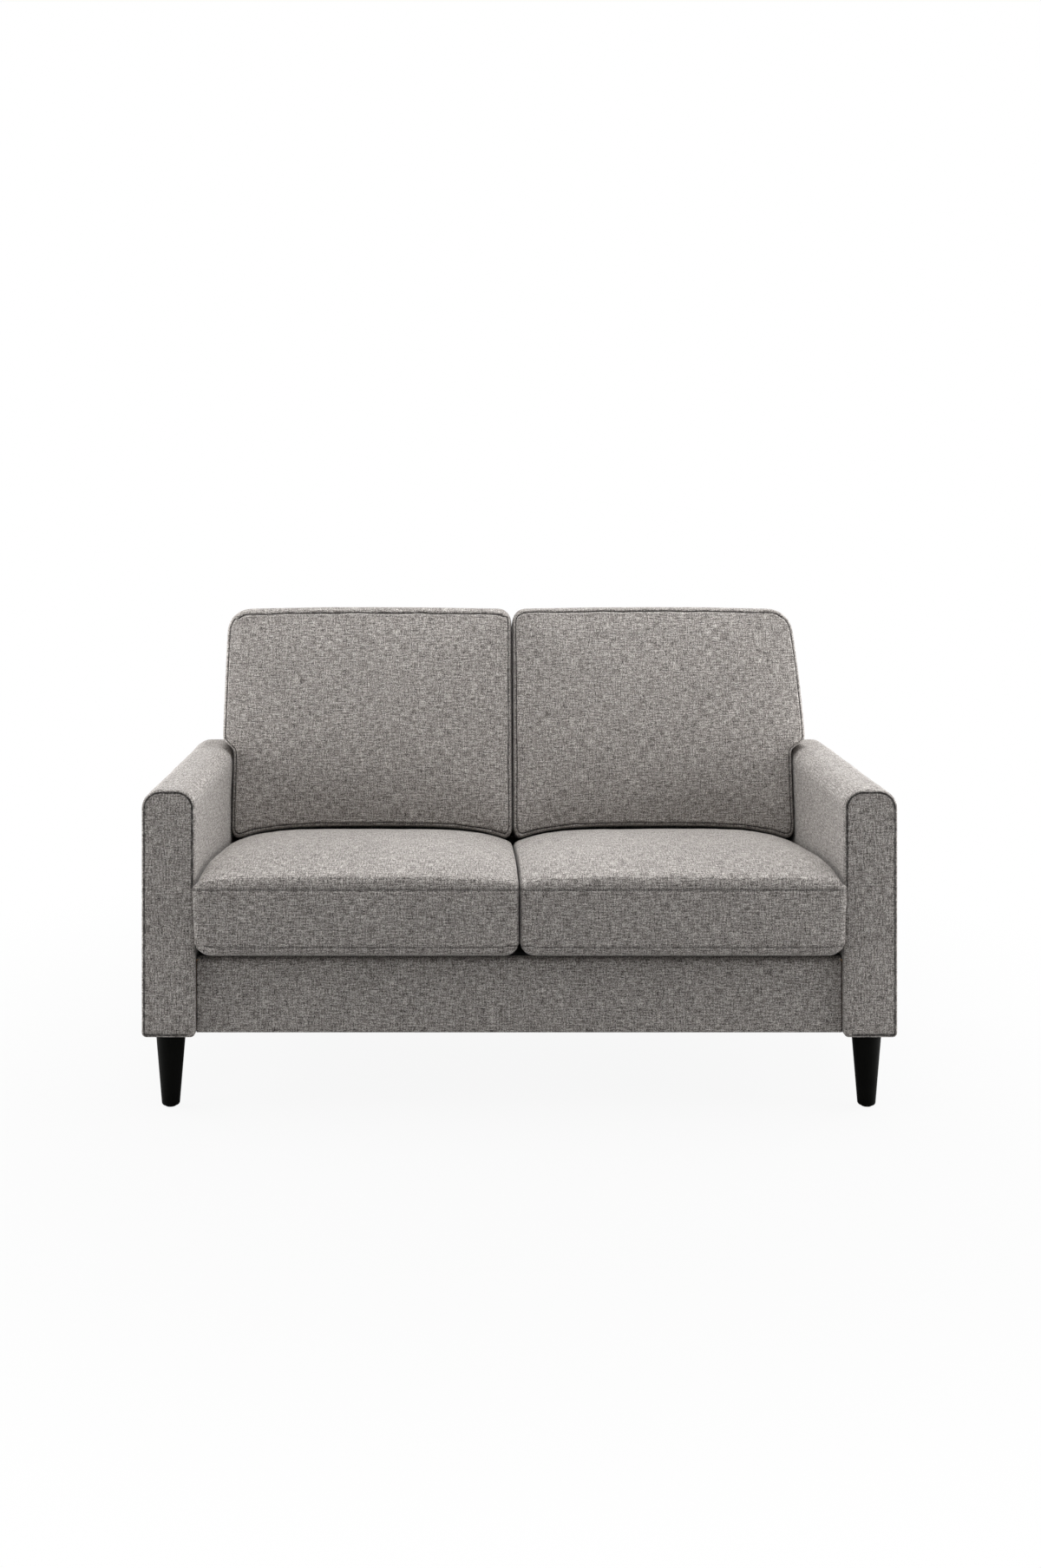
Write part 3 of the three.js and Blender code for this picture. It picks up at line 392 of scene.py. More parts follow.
def repeat(name, template, places):
    """One piece that holds a copy of the template at each place, and removes the template."""
    bpy.context.view_layer.update()
    spots = points_of(template)
    faces = [list(face.vertices) for face in template.data.polygons]
    all_points, all_faces = [], []
    for turn in places:
        turn = np.array(turn)
        base = len(all_points) * len(spots)
        all_faces.extend([[corner + base for corner in face] for face in faces])
        all_points.append(spots @ turn[:3, :3].T + turn[:3, 3])
    mesh = bpy.data.meshes.new(name)
    mesh.from_pydata(np.concatenate(all_points).tolist(), [], all_faces)
    made = bpy.data.objects.new(name, mesh)
    bpy.context.scene.collection.objects.link(made)
    bpy.data.objects.remove(template)
    return made


def stood(spot, along, facing):
    """A place whose X runs along a line and whose Z faces out of the surface."""
    x = Vector(along).normalized()
    z = Vector(facing).normalized()
    y = z.cross(x).normalized()
    turn = Matrix((x, y, x.cross(y))).transposed().to_4x4()
    turn.translation = Vector(spot)
    return turn


# Finishes


def feed(tree, node, inputs):
    """Links a socket, or sets a plain value, into each input by its name or number."""
    for label, value in inputs.items():
        if isinstance(value, bpy.types.NodeSocket):
            tree.links.new(value, node.inputs[label])
        elif value is not None:
            node.inputs[label].default_value = value
    return node


def add(tree, kind, inputs=None, **settings):
    """A new shader node with its settings and inputs."""
    node = tree.nodes.new(f"ShaderNode{kind}")
    for key, value in settings.items():
        setattr(node, key, value)
    return feed(tree, node, inputs or {})


def new_group(name, inputs, outputs):
    """A shader node group. An input without a value is a vector, one with four values a colour."""
    tree = bpy.data.node_groups.new(name, "ShaderNodeTree")
    for label, value in inputs.items():
        kind = "Vector" if value is None else "Float" if isinstance(value, float) else "Color"
        socket = tree.interface.new_socket(name=label, in_out="INPUT", socket_type=f"NodeSocket{kind}")
        if value is not None:
            socket.default_value = value
    for label in outputs:
        kind = "Color" if label == "Color" else "Float"
        tree.interface.new_socket(name=label, in_out="OUTPUT", socket_type=f"NodeSocket{kind}")
    return tree, tree.nodes.new("NodeGroupInput").outputs, tree.nodes.new("NodeGroupOutput")


def worked(tree, operation, *values, clamp=False):
    """The result of a Math node."""
    inputs = dict(enumerate(values))
    return add(tree, "Math", inputs, operation=operation, use_clamp=clamp).outputs[0]


def noise(tree, vector, scale=1.0, detail=2.0, rough=0.5, flat=False):
    inputs = {"Vector": vector, "Scale": scale, "Detail": detail, "Roughness": rough}
    return add(tree, "TexNoise", inputs, noise_dimensions="2D" if flat else "3D").outputs[0]


def ranged(tree, value, low, high, to_low=0.0, to_high=1.0, easing="LINEAR"):
    inputs = {"Value": value, "From Min": low, "From Max": high, "To Min": to_low, "To Max": to_high}
    return add(tree, "MapRange", inputs, interpolation_type=easing).outputs[0]


def eased(tree, *values):
    return ranged(tree, *values, easing="SMOOTHSTEP")


def mixed(tree, share, first, second):
    inputs = {"Factor": share, "A": first, "B": second}
    return add(tree, "Mix", inputs, data_type="RGBA").outputs["Result"]


def toned(tree, colour, value):
    """A colour made lighter or darker."""
    return add(tree, "HueSaturation", {"Color": colour, "Value": value}).outputs[0]


def opaque(colour):
    return (*colour, 1)


def weave_group():
    """Plain weave of slubby yarns: colours, height and roughness from a map in metres."""
    tree, given, out = new_group(
        "Slub weave",
        {
            "Map": None,
            "Cloth": GREY,
            "Light yarn": GREY,
            "Dark yarn": GREY,
            "Pitch": 0.0014,
            "Slub": 0.019,
            "Flecks": 1.0,
        },
        ("Color", "Height", "Roughness"),
    )
    parted = add(tree, "SeparateXYZ", {0: given["Map"]})
    across, along = parted.outputs[0], parted.outputs[1]
    tones, counts, rounds = [], [], []
    for run, step, seed in ((across, along, 0.0), (along, across, 31.7)):
        share = worked(tree, "DIVIDE", step, given["Pitch"])
        slubs = worked(tree, "MULTIPLY_ADD", run, worked(tree, "DIVIDE", 1.0, given["Slub"]), seed)
        spot = add(tree, "CombineXYZ", {0: slubs, 1: worked(tree, "MULTIPLY", share, 0.5)})
        tones.append(noise(tree, spot.outputs[0], 1, 2, 0.6, True))
        counts.append(worked(tree, "FLOOR", share))
        wave = worked(tree, "SINE", worked(tree, "MULTIPLY", share, math.pi))
        rounds.append(worked(tree, "ABSOLUTE", wave))
    fleck = noise(tree, given["Map"], FLECK_SCALE, 1, 0.5, True)
    tone = worked(tree, "MULTIPLY_ADD", fleck, WEAVE_FLECK, -sum(WEAVE_SHARES) / 2)
    for yarn, share in zip(tones, (WEAVE_WEFT, WEAVE_WARP)):
        tone = worked(tree, "MULTIPLY_ADD", yarn, share, tone)
    tone = worked(tree, "MULTIPLY", tone, given["Flecks"])
    lighter = mixed(tree, ranged(tree, tone, 0.0, 0.5), given["Cloth"], given["Light yarn"])
    woven = mixed(tree, ranged(tree, tone, 0.0, -0.5), lighter, given["Dark yarn"])
    broad = noise(tree, given["Map"], MOTTLE_SCALE, 3, 0.6, True)
    over = worked(tree, "ABSOLUTE", worked(tree, "MODULO", worked(tree, "ADD", *counts), 2.0))
    weft_part = worked(tree, "MULTIPLY", rounds[0], worked(tree, "SUBTRACT", 1.0, over))
    height = worked(tree, "MULTIPLY_ADD", rounds[1], over, weft_part)
    feed(
        tree,
        out,
        {
            "Color": toned(tree, woven, ranged(tree, broad, 0.3, 0.7, 0.95, 1.05)),
            "Height": worked(tree, "MULTIPLY_ADD", height, 0.25, tone),
            "Roughness": ranged(tree, tone, -0.3, 0.3, 0.98, 0.86),
        },
    )
    return tree


def seam_line_and_shade_group():
    """A sewn seam: its dark line and the puckers beside it, from the distance to it in metres."""
    tree, given, out = new_group(
        "Seam line and painted shade",
        {
            "Distance": 1.0,
            "Place": None,
            "Color": GREY,
            "Thread": GREY,
            "Line width": 0.001,
            "Strength": 1.0,
        },
        ("Color", "Height"),
    )
    away = worked(tree, "ABSOLUTE", given["Distance"])
    uneven = noise(tree, given["Place"], THREAD_SCALE, 2, 0.6)
    width = worked(tree, "MULTIPLY", given["Line width"], eased(tree, uneven, 0.3, 0.7, 0.8, 1.25))
    faded = eased(tree, uneven, 0.32, 0.62, 0.75, 1.0)
    # The dark line is partly the seam's joint and partly painted shadow of its crease.
    line = worked(tree, "MULTIPLY", eased(tree, away, width, 0.0), faded)
    strong = worked(tree, "MULTIPLY", given["Strength"], 1.5)
    line = worked(tree, "MULTIPLY", line, strong, clamp=True)
    # Painted shade: within 4 mm of the seam, the cloth darkens towards the thread colour, as if the
    # crease were in shade.
    painted_shade = worked(tree, "MULTIPLY", eased(tree, away, 0.004, 0.0), 0.14)
    painted_shade = worked(tree, "MULTIPLY", painted_shade, given["Strength"], clamp=True)
    under = mixed(tree, painted_shade, given["Color"], given["Thread"])
    puckers = noise(tree, given["Place"], PUCKER_SCALE, 1, 0.5)
    height = worked(tree, "MULTIPLY", puckers, eased(tree, away, 0.012, 0.002))
    feed(tree, out, {"Color": mixed(tree, line, under, given["Thread"]), "Height": height})
    return tree


def grain_group():
    """Wood grain that runs along X of its vector."""
    tree, given, out = new_group(
        "Wood grain",
        {"Vector": None, "Early wood": GREY, "Late wood": GREY},
        ("Color", "Height"),
    )
    long_grain = {"Vector": given["Vector"], "Scale": (1.2, 9, 9)}
    bent = noise(tree, add(tree, "Mapping", long_grain).outputs[0], 1, 3, 0.5)
    moved = {0: bent, 1: (0.0, 0.05, 0.05), 2: given["Vector"]}
    moved = add(tree, "VectorMath", moved, operation="MULTIPLY_ADD")
    rings = {"Vector": moved.outputs[0], "Scale": 42, "Distortion": 1.2}
    rings = add(tree, "TexWave", rings, wave_type="RINGS", rings_direction="X")
    fine_grain = {"Vector": given["Vector"], "Scale": (14, 900, 900)}
    fibres = noise(tree, add(tree, "Mapping", fine_grain).outputs[0], 1, 2, 0.6)
    fibres = worked(tree, "MULTIPLY", fibres, 0.35)
    share = worked(tree, "MULTIPLY_ADD", rings.outputs["Fac"], 0.6, fibres)
    wood = mixed(tree, share, given["Early wood"], given["Late wood"])
    feed(tree, out, {"Color": wood, "Height": share})
    return tree


def wear_group():
    """Uneven tone and roughness of a handled or painted surface."""
    tree, given, out = new_group(
        "Uneven surface",
        {
            "Vector": None,
            "Color": GREY,
            "Tone": 0.1,
            "Rough from": 0.3,
            "Rough to": 0.5,
            "Scale": 30.0,
        },
        ("Color", "Roughness", "Height"),
    )
    mottle = add(tree, "TexNoise", {"Vector": given["Vector"], "Scale": given["Scale"], "Detail": 4})
    spots = eased(tree, mottle.outputs[0], 0.3, 0.7)
    low = worked(tree, "SUBTRACT", 1.0, given["Tone"])
    high = worked(tree, "ADD", 1.0, given["Tone"])
    feed(
        tree,
        out,
        {
            "Color": toned(tree, given["Color"], ranged(tree, spots, 0.0, 1.0, low, high)),
            "Roughness": ranged(tree, spots, 0.0, 1.0, given["Rough from"], given["Rough to"]),
            "Height": spots,
        },
    )
    return tree


GROUPS = {
    "Slub weave": weave_group,
    "Seam line and painted shade": seam_line_and_shade_group,
    "Wood grain": grain_group,
    "Uneven surface": wear_group,
}


def placed_group(tree, name, **values):
    """A shader node group in a material, with its inputs."""
    group = bpy.data.node_groups.get(name) or GROUPS[name]()
    inputs = {label.replace("_", " "): value for label, value in values.items()}
    return add(tree, "Group", inputs, node_tree=group).outputs


def new_material(name):
    material = bpy.data.materials.new(name)
    material.use_nodes = True
    tree = material.node_tree
    return material, tree, tree.nodes["Principled BSDF"]


def once(make):
    """Makes the finish of one name only once."""
    return lambda name, *values, **more: bpy.data.materials.get(name) or make(name, *values, **more)


def bumped(tree, height, distance):
    return add(tree, "Bump", {"Distance": distance, "Height": height}).outputs[0]


def own_place(tree):
    return add(tree, "TexCoord").outputs["Object"]


@once
def cloth_material(name, colour, light, dark, thread, flecks=1.0, strength=1.0):
    """Woven cloth with its sewn seams."""
    material, tree, shader = new_material(name)
    weave = placed_group(
        tree,
        "Slub weave",
        Map=add(tree, "UVMap", uv_map="Weave").outputs[0],
        Cloth=opaque(colour),
        Light_yarn=opaque(light),
        Dark_yarn=opaque(dark),
        Flecks=flecks,
    )
    # The seams' dark lines are partly painted crease shadow, and the shade beside them is painted.
    seam = placed_group(
        tree,
        "Seam line and painted shade",
        Distance=add(tree, "Attribute", attribute_name="seam").outputs["Fac"],
        Place=own_place(tree),
        Color=weave["Color"],
        Thread=opaque(thread),
        Line_width=0.0027,
        Strength=strength,
    )
    height = worked(tree, "MULTIPLY_ADD", seam["Height"], 3.0, weave["Height"])
    feed(
        tree,
        shader,
        {
            "Base Color": seam["Color"],
            "Roughness": weave["Roughness"],
            "Specular IOR Level": 0.25,
            "Sheen Weight": 0.12,
            "Sheen Roughness": 0.5,
            "Normal": bumped(tree, height, 0.0003),
        },
    )
    return material


def upholstery(name="Upholstery", strength=1.0):
    paint = colours()
    yarns = (paint.cloth, paint.cloth_light, paint.cloth_dark, paint.thread)
    return cloth_material(name, *yarns, strength=strength)


def shaded(colour, share):
    return tuple(value * share for value in colour)


def deck_cloth():
    deck = colours().deck
    dark = shaded(deck, 0.5)
    return cloth_material("Deck cloth", deck, shaded(deck, 2.2), dark, dark, flecks=0.7)


@once
def plain_material(name, colour, rough, tone=0.1, scale=30.0, bump=0.0, **values):
    """A finish whose tone and roughness vary a little over the surface."""
    material, tree, shader = new_material(name)
    wear = placed_group(
        tree,
        "Uneven surface",
        Vector=own_place(tree),
        Color=opaque(colour),
        Tone=tone,
        Rough_from=rough[0],
        Rough_to=rough[1],
        Scale=scale,
    )
    feed(tree, shader, {"Base Color": wear["Color"], "Roughness": wear["Roughness"]})
    feed(tree, shader, {label.replace("_", " "): value for label, value in values.items()})
    if bump:
        feed(tree, shader, {"Normal": bumped(tree, wear["Height"], bump)})
    return material


@once
def timber_material(name, turn):
    """Bare softwood whose grain runs along X after a turn."""
    material, tree, shader = new_material(name)
    turned = add(tree, "Mapping", {"Vector": own_place(tree), "Rotation": turn})
    early = colours().timber
    late = tuple(value * share for value, share in zip(early, (0.66, 0.55, 0.45)))
    grain = placed_group(
        tree,
        "Wood grain",
        Vector=turned.outputs[0],
        Early_wood=opaque(early),
        Late_wood=opaque(late),
    )
    feed(
        tree,
        shader,
        {
            "Base Color": grain["Color"],
            "Roughness": ranged(tree, grain["Height"], 0.0, 1.0, 0.6, 0.78),
            "Normal": bumped(tree, grain["Height"], 0.0003),
        },
    )
    return material


def timber(axis):
    """Softwood with its grain along X, Y or Z."""
    turn = ((0, 0, 0), (0, 0, math.pi / 2), (0, math.pi / 2, 0))[axis]
    return timber_material(f"Timber along {'XYZ'[axis]}", turn)


def zinc():
    return plain_material("Zinc plate", colours().zinc, (0.28, 0.48), 0.12, 60, Metallic=1.0)


# Cushions


def rows(total, beside, step):
    """Places of grid lines over a length: the given ones near both ends, and even ones between."""
    beside = np.array(beside)
    inner = total - 2 * beside[-1]
    middle = beside[-1] + np.linspace(0, inner, max(2, round(inner / step)) + 1)
    return np.concatenate([beside[:-1], middle, total - beside[:-1][::-1]])


def grid_box(name, lists):
    """A cube cut into a grid whose lines lie at the given places, with its lowest corner at zero."""
    made = start(name, (0, 0, 0), (1, 1, 1))
    for axis, places in enumerate(lists):
        divide(made, axis, len(places) - 2)
    ready()
    lines = np.rint(points_of(made) * [len(places) - 1 for places in lists]).astype(int)
    place_points(made, np.stack([places[line] for places, line in zip(lists, lines.T)], 1))
    return made


def rolled(flat, half, roll):
    """Moves the points of a box's surface onto the same box with rolled edges."""
    roll = np.ones(3) * roll
    reach = half - roll
    core = np.clip(flat, -reach, reach)
    away = (flat - core) / roll
    away /= np.linalg.norm(away, axis=1, keepdims=True)
    return core + away * roll


def cornered(moved, half, radii):
    """Rounds a box's corners, as seen from its front, with the radius that each point is given."""
    reach_x, reach_z = half[0] - radii, half[2] - radii
    across, up = np.abs(moved[:, 0]) - reach_x, np.abs(moved[:, 2]) - reach_z
    inside = np.minimum(across, up) > 0
    share = np.where(inside, np.maximum(across, up) / np.maximum(np.hypot(across, up), 1e-9), 1)
    x = np.where(inside, np.sign(moved[:, 0]) * (reach_x + across * share), moved[:, 0])
    z = np.where(inside, np.sign(moved[:, 2]) * (reach_z + up * share), moved[:, 2])
    return np.stack([x, moved[:, 1], z], 1)


def boxed(flat, half, roll, radii):
    """Rolls the edges of a box's front and rear and rounds its corners as seen from its front."""
    inset = np.minimum(half[0] - np.abs(flat[:, 0]), half[2] - np.abs(flat[:, 2]))
    sunk = half[1] - np.abs(flat[:, 1])
    near, deep = np.clip(roll - inset, 0, None), np.clip(roll - sunk, 0, None)
    away = np.maximum(np.hypot(near, deep), 1e-9)
    both = (near > 0) & (deep > 0)
    turned = np.where(both, roll - roll * near / away, inset)
    depth = np.where(both, roll - roll * deep / away, sunk)
    across = np.abs(flat[:, 0]) - half[0] + radii
    up = np.abs(flat[:, 2]) - half[2] + radii
    corner = np.minimum(across, up) > 0
    scale = (radii - turned) / np.maximum(np.hypot(across, up), 1e-9)
    wide, tall = half[0] - np.abs(flat[:, 0]), half[2] - np.abs(flat[:, 2])
    x = np.where(corner, half[0] - radii + across * scale, half[0] - np.where(wide <= tall, turned, wide))
    z = np.where(corner, half[2] - radii + up * scale, half[2] - np.where(tall < wide, turned, tall))
    sign = np.sign(flat)
    return np.stack([sign[:, 0] * x, sign[:, 1] * (half[1] - depth), sign[:, 2] * z], 1)


def side_sign(side):
    return 1 if side == "right" else -1


def back_frame():
    """The directions behind the back's front plane and up its slope."""
    lean = sizes().lean
    out = np.array([0, math.cos(lean), -math.sin(lean)])
    up = np.array([0, math.sin(lean), math.cos(lean)])
    return out, up


def seat_top(across, along, crown=1.0):
    """Heights of the seat's corner line and of its top, at shares across and along it."""
    size = sizes()
    corner = size.corner_front + (size.corner_rear - size.corner_front) * (along + 1) / 2
    edges = size.side_crown * (1 - np.abs(along) ** 4) + size.front_crown * (1 - np.abs(across) ** 4)
    edges = edges - size.seat_drop * np.abs(across) ** 6 * np.clip(along + 0.3, 0, 1)
    share = (1 - np.abs(across) ** 2.4) * (1 - np.abs(along) ** 4)
    return corner, corner + edges + size.seat_crown * share * crown


def seat_form(points, total, spans, crown=1.0):
    """The seat cushion's shape: boxed, drawn in between its corners and crowned over its top."""
    size = sizes()
    (x0, x1), (y0, y1), bottom = spans
    half = total / 2
    flat = points - half
    sign = 1 if x0 > 0 else -1
    moved = rolled(flat, half, np.array([size.side_roll, size.front_roll, size.roll]))
    radii = np.where(flat[:, 0] * sign > 0, *SEAT_CORNERS)
    moved = cornered(moved, half, radii)
    to_front = np.clip(-moved[:, 1] / half[1], 0, 1) ** 3
    foot_corner = size.seat_foot_rear + (size.seat_foot_front - size.seat_foot_rear) * to_front
    lower = boxed(flat, half, size.front_roll, foot_corner)
    moved = np.where(points[:, 2:] < half[2], lower, moved)
    across, along, up = (moved / half).T
    inward = size.draw * (1 - up**2)
    inner_draw = 0.25
    outer = np.where(across * sign > 0, 1.0, inner_draw)
    x = moved[:, 0] - across * (inward + size.draw * (1 - along**2)) * outer
    puff = size.seat_puff * np.clip(-along, 0, 1) ** 8 * (1 - across**4) * (1 - up**4)
    y = moved[:, 1] - np.clip(along, 0, 1) * inward - puff
    corner, top = seat_top(across, along, crown)
    rise = ramp(moved[:, 2], half[2] - size.roll, size.roll * 0.45)
    lift = size.front_lift * ramp(-along, 0.7, 0.3) ** 2 * (1 - up) / 2
    z = bottom + (corner - bottom) * (up + 1) / 2 + (top - corner) * rise + lift
    return np.stack([x + (x0 + x1) / 2, y + (y0 + y1) / 2, z], 1)


def back_form(points, total, spans, crown, foot, bulge, taper):
    """The back cushion's shape: it leans, swells, bulges over the arm and hangs onto the seat."""
    size = sizes()
    (x0, x1), (d0, d1), (h0, h1), bulge_from, seat_span = spans
    half = total / 2
    level = np.abs(points / half - 1)
    level = np.maximum(level[:, 0], level[:, 2]) ** 12
    outer, above = points[:, 0] > half[0], points[:, 2] > half[2]
    top_corner = np.where(outer, size.outer_corner, size.inner_corner)
    radii = np.where(above, top_corner, size.foot_corner)
    moved = boxed(points - half, half, size.back_roll, radii)
    across, through, along = (moved / half).T
    turn_x = np.clip(1 - (half[0] - np.abs(moved[:, 0])) / radii, 0, 1)
    turn_z = np.clip(1 - (half[2] - np.abs(moved[:, 2])) / radii, 0, 1)
    turn = np.maximum(np.hypot(turn_x, turn_z), 1e-9)
    turn_x, turn_z = turn_x / turn * np.sign(moved[:, 0]), turn_z / turn * above
    height = moved[:, 2] + (h0 + h1) / 2
    rise = ramp(height, bulge_from, size.bulge_run)
    rise = rise * rise * (3 - 2 * rise)
    fall = ramp(height, bulge_from + size.bulge_run, h1 - bulge_from - size.bulge_run)
    puff = size.side_puff + (size.top_puff - size.side_puff) * turn_z**2
    puff = puff * (1 - np.abs(through) ** 6) * level
    x = moved[:, 0] + (x0 + x1) / 2 + puff * turn_x
    x = x + (bulge * rise - taper * fall**1.5) * np.clip(across, 0, None)
    swell = np.sqrt(np.clip(1 - across**4, 0, 1)) * (1 - along**8)
    depth = moved[:, 1] + (d0 + d1) / 2 - crown * swell * np.clip(-through, 0, None)
    top = size.back_top_crown * (1 - across**2) * np.clip(along, 0, None)
    height = height + top + puff * turn_z
    out, up = back_frame()
    placed = foot + np.outer(depth, out) + np.outer(height, up)
    edge_y = (foot + out * -size.back_depth + up * h0)[1]
    under = size.meets_back - (placed[:, 1] - edge_y) * math.tan(size.lean)
    low_y, high_y = seat_span
    behind = np.clip((placed[:, 1] - (low_y + high_y) / 2) / ((high_y - low_y) / 2), -1, 1)
    _, seat = seat_top(across, behind)
    hang = np.clip(under - seat - size.rest_gap, 0, None) * np.clip(-along, 0, 1) ** 6
    placed = placed - np.outer(hang, up)
    placed[:, 0] = x
    return placed


def fill(made, held):
    """Blows the cover up a little, as its filling does, and returns how far each point moved."""
    before = points_of(made)
    size = sizes()
    scene = bpy.context.scene
    hold(made)
    cloth = made.modifiers.new("Filling", "CLOTH")
    settings = cloth.settings
    settings.quality = 5
    settings.mass = 0.3
    settings.tension_stiffness = settings.compression_stiffness = 12
    settings.shear_stiffness = 6
    settings.bending_stiffness = 0.6
    settings.air_damping = 2
    settings.use_pressure = True
    settings.uniform_pressure_force = size.pressure
    settings.effector_weights.gravity = 0
    settings.vertex_group_mass = group_of(made, "held", held)
    cloth.collision_settings.use_collision = False
    cloth.point_cache.frame_start = 1
    cloth.point_cache.frame_end = size.frames
    for step in range(1, size.frames + 1):
        scene.frame_set(step)
    bpy.ops.object.modifier_apply(modifier=cloth.name)
    scene.frame_set(1)
    made.vertex_groups.clear()
    moved = points_of(made) - before
    far = np.linalg.norm(moved, axis=1, keepdims=True)
    return moved * np.minimum(1, size.cap / np.maximum(far, 1e-9))


def swollen_to(now, full, moved, middle, direction):
    """Adds the filling's movement, scaled so that the middle rises as far as the full form's."""
    rise = (moved[middle] @ direction).max()
    wanted = ((full - now)[middle] @ direction).max()
    return now + moved * (float(np.clip(wanted / rise, 0, 2)) if rise > 1e-4 else 0)


def sew(made, depth):
    """Presses the seams into a cushion along its own normals, from the distances that it keeps."""
    width = sizes().seam_width
    away = np.abs(read(made.data.attributes["seam"].data, "value", 1, np.float32).astype(float))
    lip_height, lip_place, lip_width = depth * 0.35, width * 3, width * 1.4
    groove = -depth * np.exp(-((away / width) ** 2))
    lip = lip_height * np.exp(-(((away - lip_place) / lip_width) ** 2))
    normals = read(made.data.vertices, "normal")
    place_points(made, points_of(made) + normals * (groove + lip)[:, None])


def soften(made, away, free, depth, *waves):
    """Gives a filled cushion its fine mesh, its waves and its seams."""
    keep(made, "seam", away)
    group_of(made, "free", free)
    apply(made, "SUBSURF", "Soft", levels=1, render_levels=1)
    ruffle(made, *waves)
    sew(made, depth)


def finish_cushion(made, cloth, node):
    """Lays a cushion's cloth and finishes it; its body is the cushion itself."""
    lay_cloth(made)
    finish_piece(made, cloth, made.name, [node])


def seat_cushion(side):
    """A boxed seat cushion that its filling crowns."""
    size = sizes()
    node = f"{side}_seat_cushion_cover"
    (low, high), bottom = seat_room(side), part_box(node)[0].z
    total = np.array([high[0] - low[0], high[1] - low[1], size.corner_front - bottom])
    lists = [rows(total[0], BESIDE, GRID), rows(total[1], BESIDE, GRID)]
    made = grid_box(f"{side}_seat_cushion", [*lists, rows(total[2], BESIDE[:-1], 0.0085)])
    flat = points_of(made)
    spans = ((low[0], high[0]), (low[1], high[1]), bottom)
    share = np.round(flat / total * 2 - 1, EXACT)
    boxing = np.maximum(size.roll - flat[:, 2], flat[:, 2] - total[2] + size.roll)
    inset = np.minimum(flat, total - flat)[:, :2].min(1)
    on_top = share[:, 2] == 1
    away = np.where(np.abs(share[:, 2]) == 1, size.roll + inset, boxing)
    full = seat_form(flat, total, spans)
    start_crown, rim, front_held, soft = 0.2, 0.002, 0.75, 0.6
    now = seat_form(flat, total, spans, start_crown)
    place_points(made, now)
    in_front = (share[:, 1] == -1) & (np.abs(share[:, 2]) < 0.75)
    held = np.where(on_top & (inset > rim), 0.0, np.where(in_front, front_held, 1.0))
    middle = (np.abs(share[:, 0]) < 0.3) & (np.abs(share[:, 1]) < 0.3) & on_top
    place_points(made, swollen_to(now, full, fill(made, held), middle, np.array([0, 0, 1])))
    soft_front = np.clip((-share[:, 1] - 0.9) * 10, 0, 1) * (np.abs(share[:, 2]) < 0.8) * soft
    free = np.where(on_top, 1.0, soft_front)
    soften(made, away, free, size.seam_depth * 0.6, (0.0030, 0.13), (0.0010, 0.035))
    limit_under_back(made)
    settle_beside(made, side, low, high, bottom)
    finish_cushion(made, upholstery("Seat upholstery", 0.4), node)


def seat_room(side):
    """The room across and along between the arm, the other seat cushion and the back."""
    across = sorted((side_sign(side) * HALF_GAP, side_sign(side) * (arm_low.x - SNUG)))
    return (across[0], seat_low.y), (across[1], seat_high.y)


def settle_beside(made, side, low, high, bottom):
    """Keeps a seat cushion off the arm and the other cushion, apart from the lip before the arm."""
    size = sizes()
    points = points_of(made)
    sign = side_sign(side)
    limit = max(high[0], -low[0])
    out = points[:, 0] * sign
    before_arm, top_swell, reach = 0.0012, 0.007, 0.035
    free = np.clip((panel_front - before_arm - points[:, 1]) / 0.003, 0, 1)
    middle = ramp(points[:, 2], bottom, size.corner_front + top_swell - bottom) * 2 - 1
    near = ramp(out, limit - reach, 0.03)
    lip = size.front_lip * free * near * (1 - np.abs(middle) ** 5) * (0.7 + 0.3 * middle)
    points[:, 0] = sign * np.clip(out + lip, HALF_GAP, limit + size.front_lip * free)
    points[:, 2] = np.maximum(points[:, 2], bottom)
    place_points(made, points)


def limit_under_back(made):
    """Keeps the seat's rear under the back cushion's underside."""
    size = sizes()
    out, up = back_frame()
    edge = back_foot() + out * -size.back_depth + up * back_spans()[0]
    points = points_of(made)
    limit = size.meets_back - (points[:, 1] - edge[1]) * math.tan(size.lean) - SNUG
    points[:, 2] = np.minimum(points[:, 2], limit)
    place_points(made, points)


def back_foot():
    """The point where the back's front plane meets the deck's level, in the middle."""
    lean = sizes().lean
    behind = 0.0003 / math.cos(lean) + (deck_high.z - deck_low.z) * math.tan(lean)
    return np.array([0, deck_high.y + behind, deck_high.z])


def back_spans():
    """Heights up the slope of the back cushion's foot and top edge."""
    size = sizes()
    cos, sin = math.cos(size.lean), math.sin(size.lean)
    low = (size.meets_back - deck_high.z - size.back_depth * sin) / cos
    return low, low + size.back_rise / cos - size.back_top_crown - size.top_puff * 0.7


